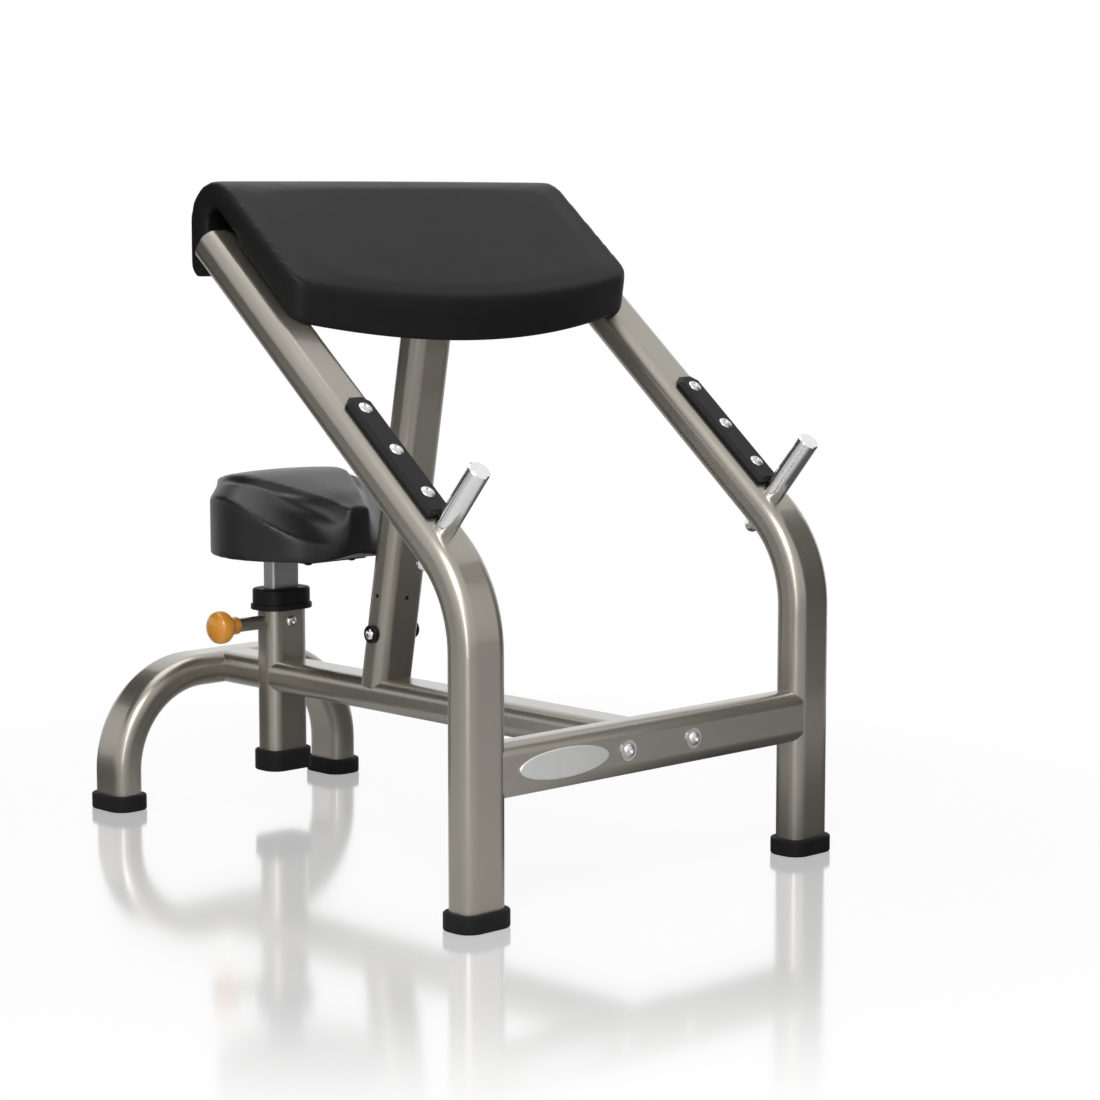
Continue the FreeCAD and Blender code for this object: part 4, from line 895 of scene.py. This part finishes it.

# %% [markdown]
# ## Floor
# The bench stands on a white, glossy studio floor that fades into a white background. A plain white plane
# would turn grey with distance, so the camera sees white, lit matte and a soft mirror in one: it keeps the
# bench's shadow and, at a flat angle, its reflection, and is pure white further off. What the tubes reflect
# is the plain matte floor with two dark round patches of painted shade on it. Only reflections see them,
# and they keep the tubes' lower faces from washing out.

# %% Floor
FLOOR_HALF = 30.0
FLOOR_WHITE = 0.85
FLOOR_GLOSS = 1.6
FLOOR_BLUR = 0.11
FLOOR_FADE = (0.9, 1.5)
# Two round patches of painted shade that only reflections see: each has a place and a reach.
RIGHT_PAINTED_SHADE = ((0.75, -0.25, 0.0), 0.8)
REAR_PAINTED_SHADE = ((-0.6, 1.0, 0.0), 0.6)
PAINTED_SHADE_EDGE = (0.7, 1.2)


def painted_shade_patch(desk, place, spot, reach):
    """1 on a round patch of painted shade on the floor, fading to 0 round its edge."""
    off = desk.node("VectorMath", {"operation": "DISTANCE"}, {0: place, 1: spot}, "Value")
    return desk.node("MapRange", {"interpolation_type": "SMOOTHSTEP"}, {
        "Value": off, "From Min": PAINTED_SHADE_EDGE[0] * reach, "From Max": PAINTED_SHADE_EDGE[1] * reach,
        "To Min": 1.0, "To Max": 0.0})


def floor_finish():
    """White and glossy to the camera, matte to everything else, with two patches of painted shade that only
    reflections see.
    """
    material, desk, place = start_finish("studio_floor")
    matte = desk.node("BsdfDiffuse", {}, {"Color": grey(0.9)})
    white = desk.node("Emission", {}, {"Color": grey(1.0), "Strength": 1.0})
    mirror = desk.node("BsdfGlossy", {}, {"Color": grey(1.0), "Roughness": FLOOR_BLUR})
    lit = desk.node("MixShader", {}, {0: FLOOR_WHITE, 1: matte, 2: white})
    gloss = desk.node("Fresnel", {}, {"IOR": 1.5}) * FLOOR_GLOSS
    polished = desk.node("MixShader", {}, {0: gloss, 1: lit, 2: mirror})
    far = desk.node("VectorMath", {"operation": "LENGTH"}, {0: place}, "Value")
    fade = desk.node("MapRange", {"interpolation_type": "SMOOTHSTEP"},
                     {"Value": far, "From Min": FLOOR_FADE[0], "From Max": FLOOR_FADE[1]})
    near_and_far = desk.node("MixShader", {}, {0: fade, 1: polished, 2: white})
    # Painted shade: the dark colour that reflections see inside the two patches.
    dark = desk.node("BsdfDiffuse", {}, {"Color": grey(0.15)})
    reflected = desk.node("LightPath", {}, {}, "Is Glossy Ray")
    seen = desk.node("LightPath", {}, {}, "Is Camera Ray")
    painted_shade_share = painted_shade_patch(desk, place, *RIGHT_PAINTED_SHADE) + painted_shade_patch(desk, place, *REAR_PAINTED_SHADE)
    bounced = desk.node("MixShader", {}, {0: reflected * painted_shade_share, 1: matte, 2: dark})
    surface = desk.node("MixShader", {}, {0: seen, 1: bounced, 2: near_and_far})
    return end_finish(material, desk, surface)


def staged(name, bm, finish):
    """A sheet that belongs to the studio and not to the bench."""
    mesh = bpy.data.meshes.new(name)
    bm.to_mesh(mesh)
    bm.free()
    mesh.materials.append(finish)
    made = bpy.data.objects.new(name, mesh)
    scene.collection.objects.link(made)
    return made


floor_sheet = bmesh.new()
bmesh.ops.create_grid(floor_sheet, x_segments=1, y_segments=1, size=FLOOR_HALF)
staged("studio_floor", floor_sheet, floor_finish())

# %% [markdown]
# ## Flags: painted shade in reflections
# In an all-white room, metal and gloss have nothing dark to reflect and look flat. A studio hangs dark
# cloths, called flags, just out of the picture. Here glowing sheets stand in for them: one stands at the front
# right, one hangs at the rear left with another lying behind it, and a grey one lies round the floor. Only
# reflections see them and they block no light, so they are painted shade in the reflections of the tubes and
# the chrome. The hung one starts high enough that the floor doesn't mirror it near the feet.

# %% Flags: painted shade in reflections
RING_REACH = (1.55, 9.0)
RING_LIFT = 0.003
RING_STEPS = 48


def reflected_shade_sheet(name, bm, shade):
    """A sheet that glows in one plain shade and only reflections see: painted shade in what the bench reflects.
    """
    material, desk, _ = start_finish(name + "_cloth")
    tone = desk.node("Emission", {}, {"Color": grey(shade), "Strength": 1.0})
    made = staged(name, bm, end_finish(material, desk, tone))
    made.visible_camera = False
    made.visible_diffuse = False
    made.visible_transmission = False
    made.visible_shadow = False


def sheet(corner, side, run):
    """A flat sheet: one side, extruded along its run."""
    bm = bmesh.new()
    edge = bm.edges.new([bm.verts.new(Vector(corner) + Vector(side) * share) for share in (0.0, 1.0)])
    moved = bmesh.ops.extrude_edge_only(bm, edges=[edge])["geom"]
    bmesh.ops.translate(bm, verts=only(VERT, moved), vec=run)
    return bm


front_right = sheet(corner=(1.06, -1.6, 0.0), side=(0.0, 0.0, 2.3), run=(1.44, 0.9, 0.0))
rear_left = sheet(corner=(-1.05, 0.65, 0.62), side=(0.0, 0.0, 1.03), run=(1.25, 1.25, 0.0))
behind_rear_left = sheet(corner=(-1.33, 0.94, 0.005), side=(1.27, 1.22, 0.0), run=(-4.87, 5.03, 0.0))
ring_row = [Vector((reach, 0.0, RING_LIFT)) for reach in RING_REACH]
floor_ring = turned(ring_row, (0.0, 0.0, 0.0), (0.0, 0.0, 1.0), RING_STEPS)
# Each sheet is painted shade: the tubes and the chrome reflect it, and nothing else sees it.
reflected_shade_sheet("front_right_shade_sheet", front_right, shade=0.05)
reflected_shade_sheet("rear_left_shade_sheet", rear_left, shade=0.05)
reflected_shade_sheet("rear_left_cloth", behind_rear_left, shade=0.05)
reflected_shade_sheet("floor_shade_ring", floor_ring, shade=0.6)

# %% [markdown]
# ## Lamps and background
# The light comes from the upper left, as in the picture, through big soft boxes at a plain level. A tall
# narrow box beside the camera draws the bright line along the tubes' round corners. The world is dim as a
# light but white where it is seen, directly or in a reflection.

# %% Lamps
LAMPS_AIM = Vector((0.0, 0.0, 0.45))


def soft_lamp(name, place, width, height, power):
    """A soft box that faces the bench."""
    data = bpy.data.lights.new(name, "AREA")
    data.shape = "RECTANGLE"
    data.size = width
    data.size_y = height
    data.energy = power
    lamp = bpy.data.objects.new(name, data)
    lamp.location = place
    lamp.rotation_euler = (LAMPS_AIM - Vector(place)).to_track_quat("-Z", "Y").to_euler()
    scene.collection.objects.link(lamp)


soft_lamp("key_lamp", place=(-2.4, -2.2, 2.8), width=1.6, height=1.6, power=80.0)
soft_lamp("top_lamp", place=(0.2, 1.0, 3.4), width=2.4, height=2.4, power=32.0)
soft_lamp("fill_lamp", place=(2.8, -2.0, 2.6), width=1.6, height=1.6, power=12.0)
soft_lamp("edge_lamp", place=(-2.5, -2.3, 0.9), width=0.45, height=1.8, power=18.0)

# %% Background
WORLD_LIGHT = 0.2


def shown_rays(desk):
    """1 for rays that show the background: from the camera, or off or through something shiny."""
    camera_ray, glossy_ray, clear_ray = [
        desk.node("LightPath", {}, {}, "Is " + kind + " Ray") for kind in ("Camera", "Glossy", "Transmission")]
    return desk.node("Clamp", {}, {"Value": camera_ray + glossy_ray + clear_ray})


def white_world():
    """A world that gives little light and shows as white."""
    world = bpy.data.worlds.new("white_studio")
    scene.world = world
    world.use_nodes = True
    world.node_tree.nodes.clear()
    desk = Wire(world.node_tree)
    tone = mix(grey(WORLD_LIGHT), grey(1.0), shown_rays(desk))
    desk.node("OutputWorld", {}, {"Surface": desk.node("Background", {}, {"Color": tone, "Strength": 1.0})})
    print("world", world.name, "has", len(world.node_tree.nodes), "nodes")


white_world()
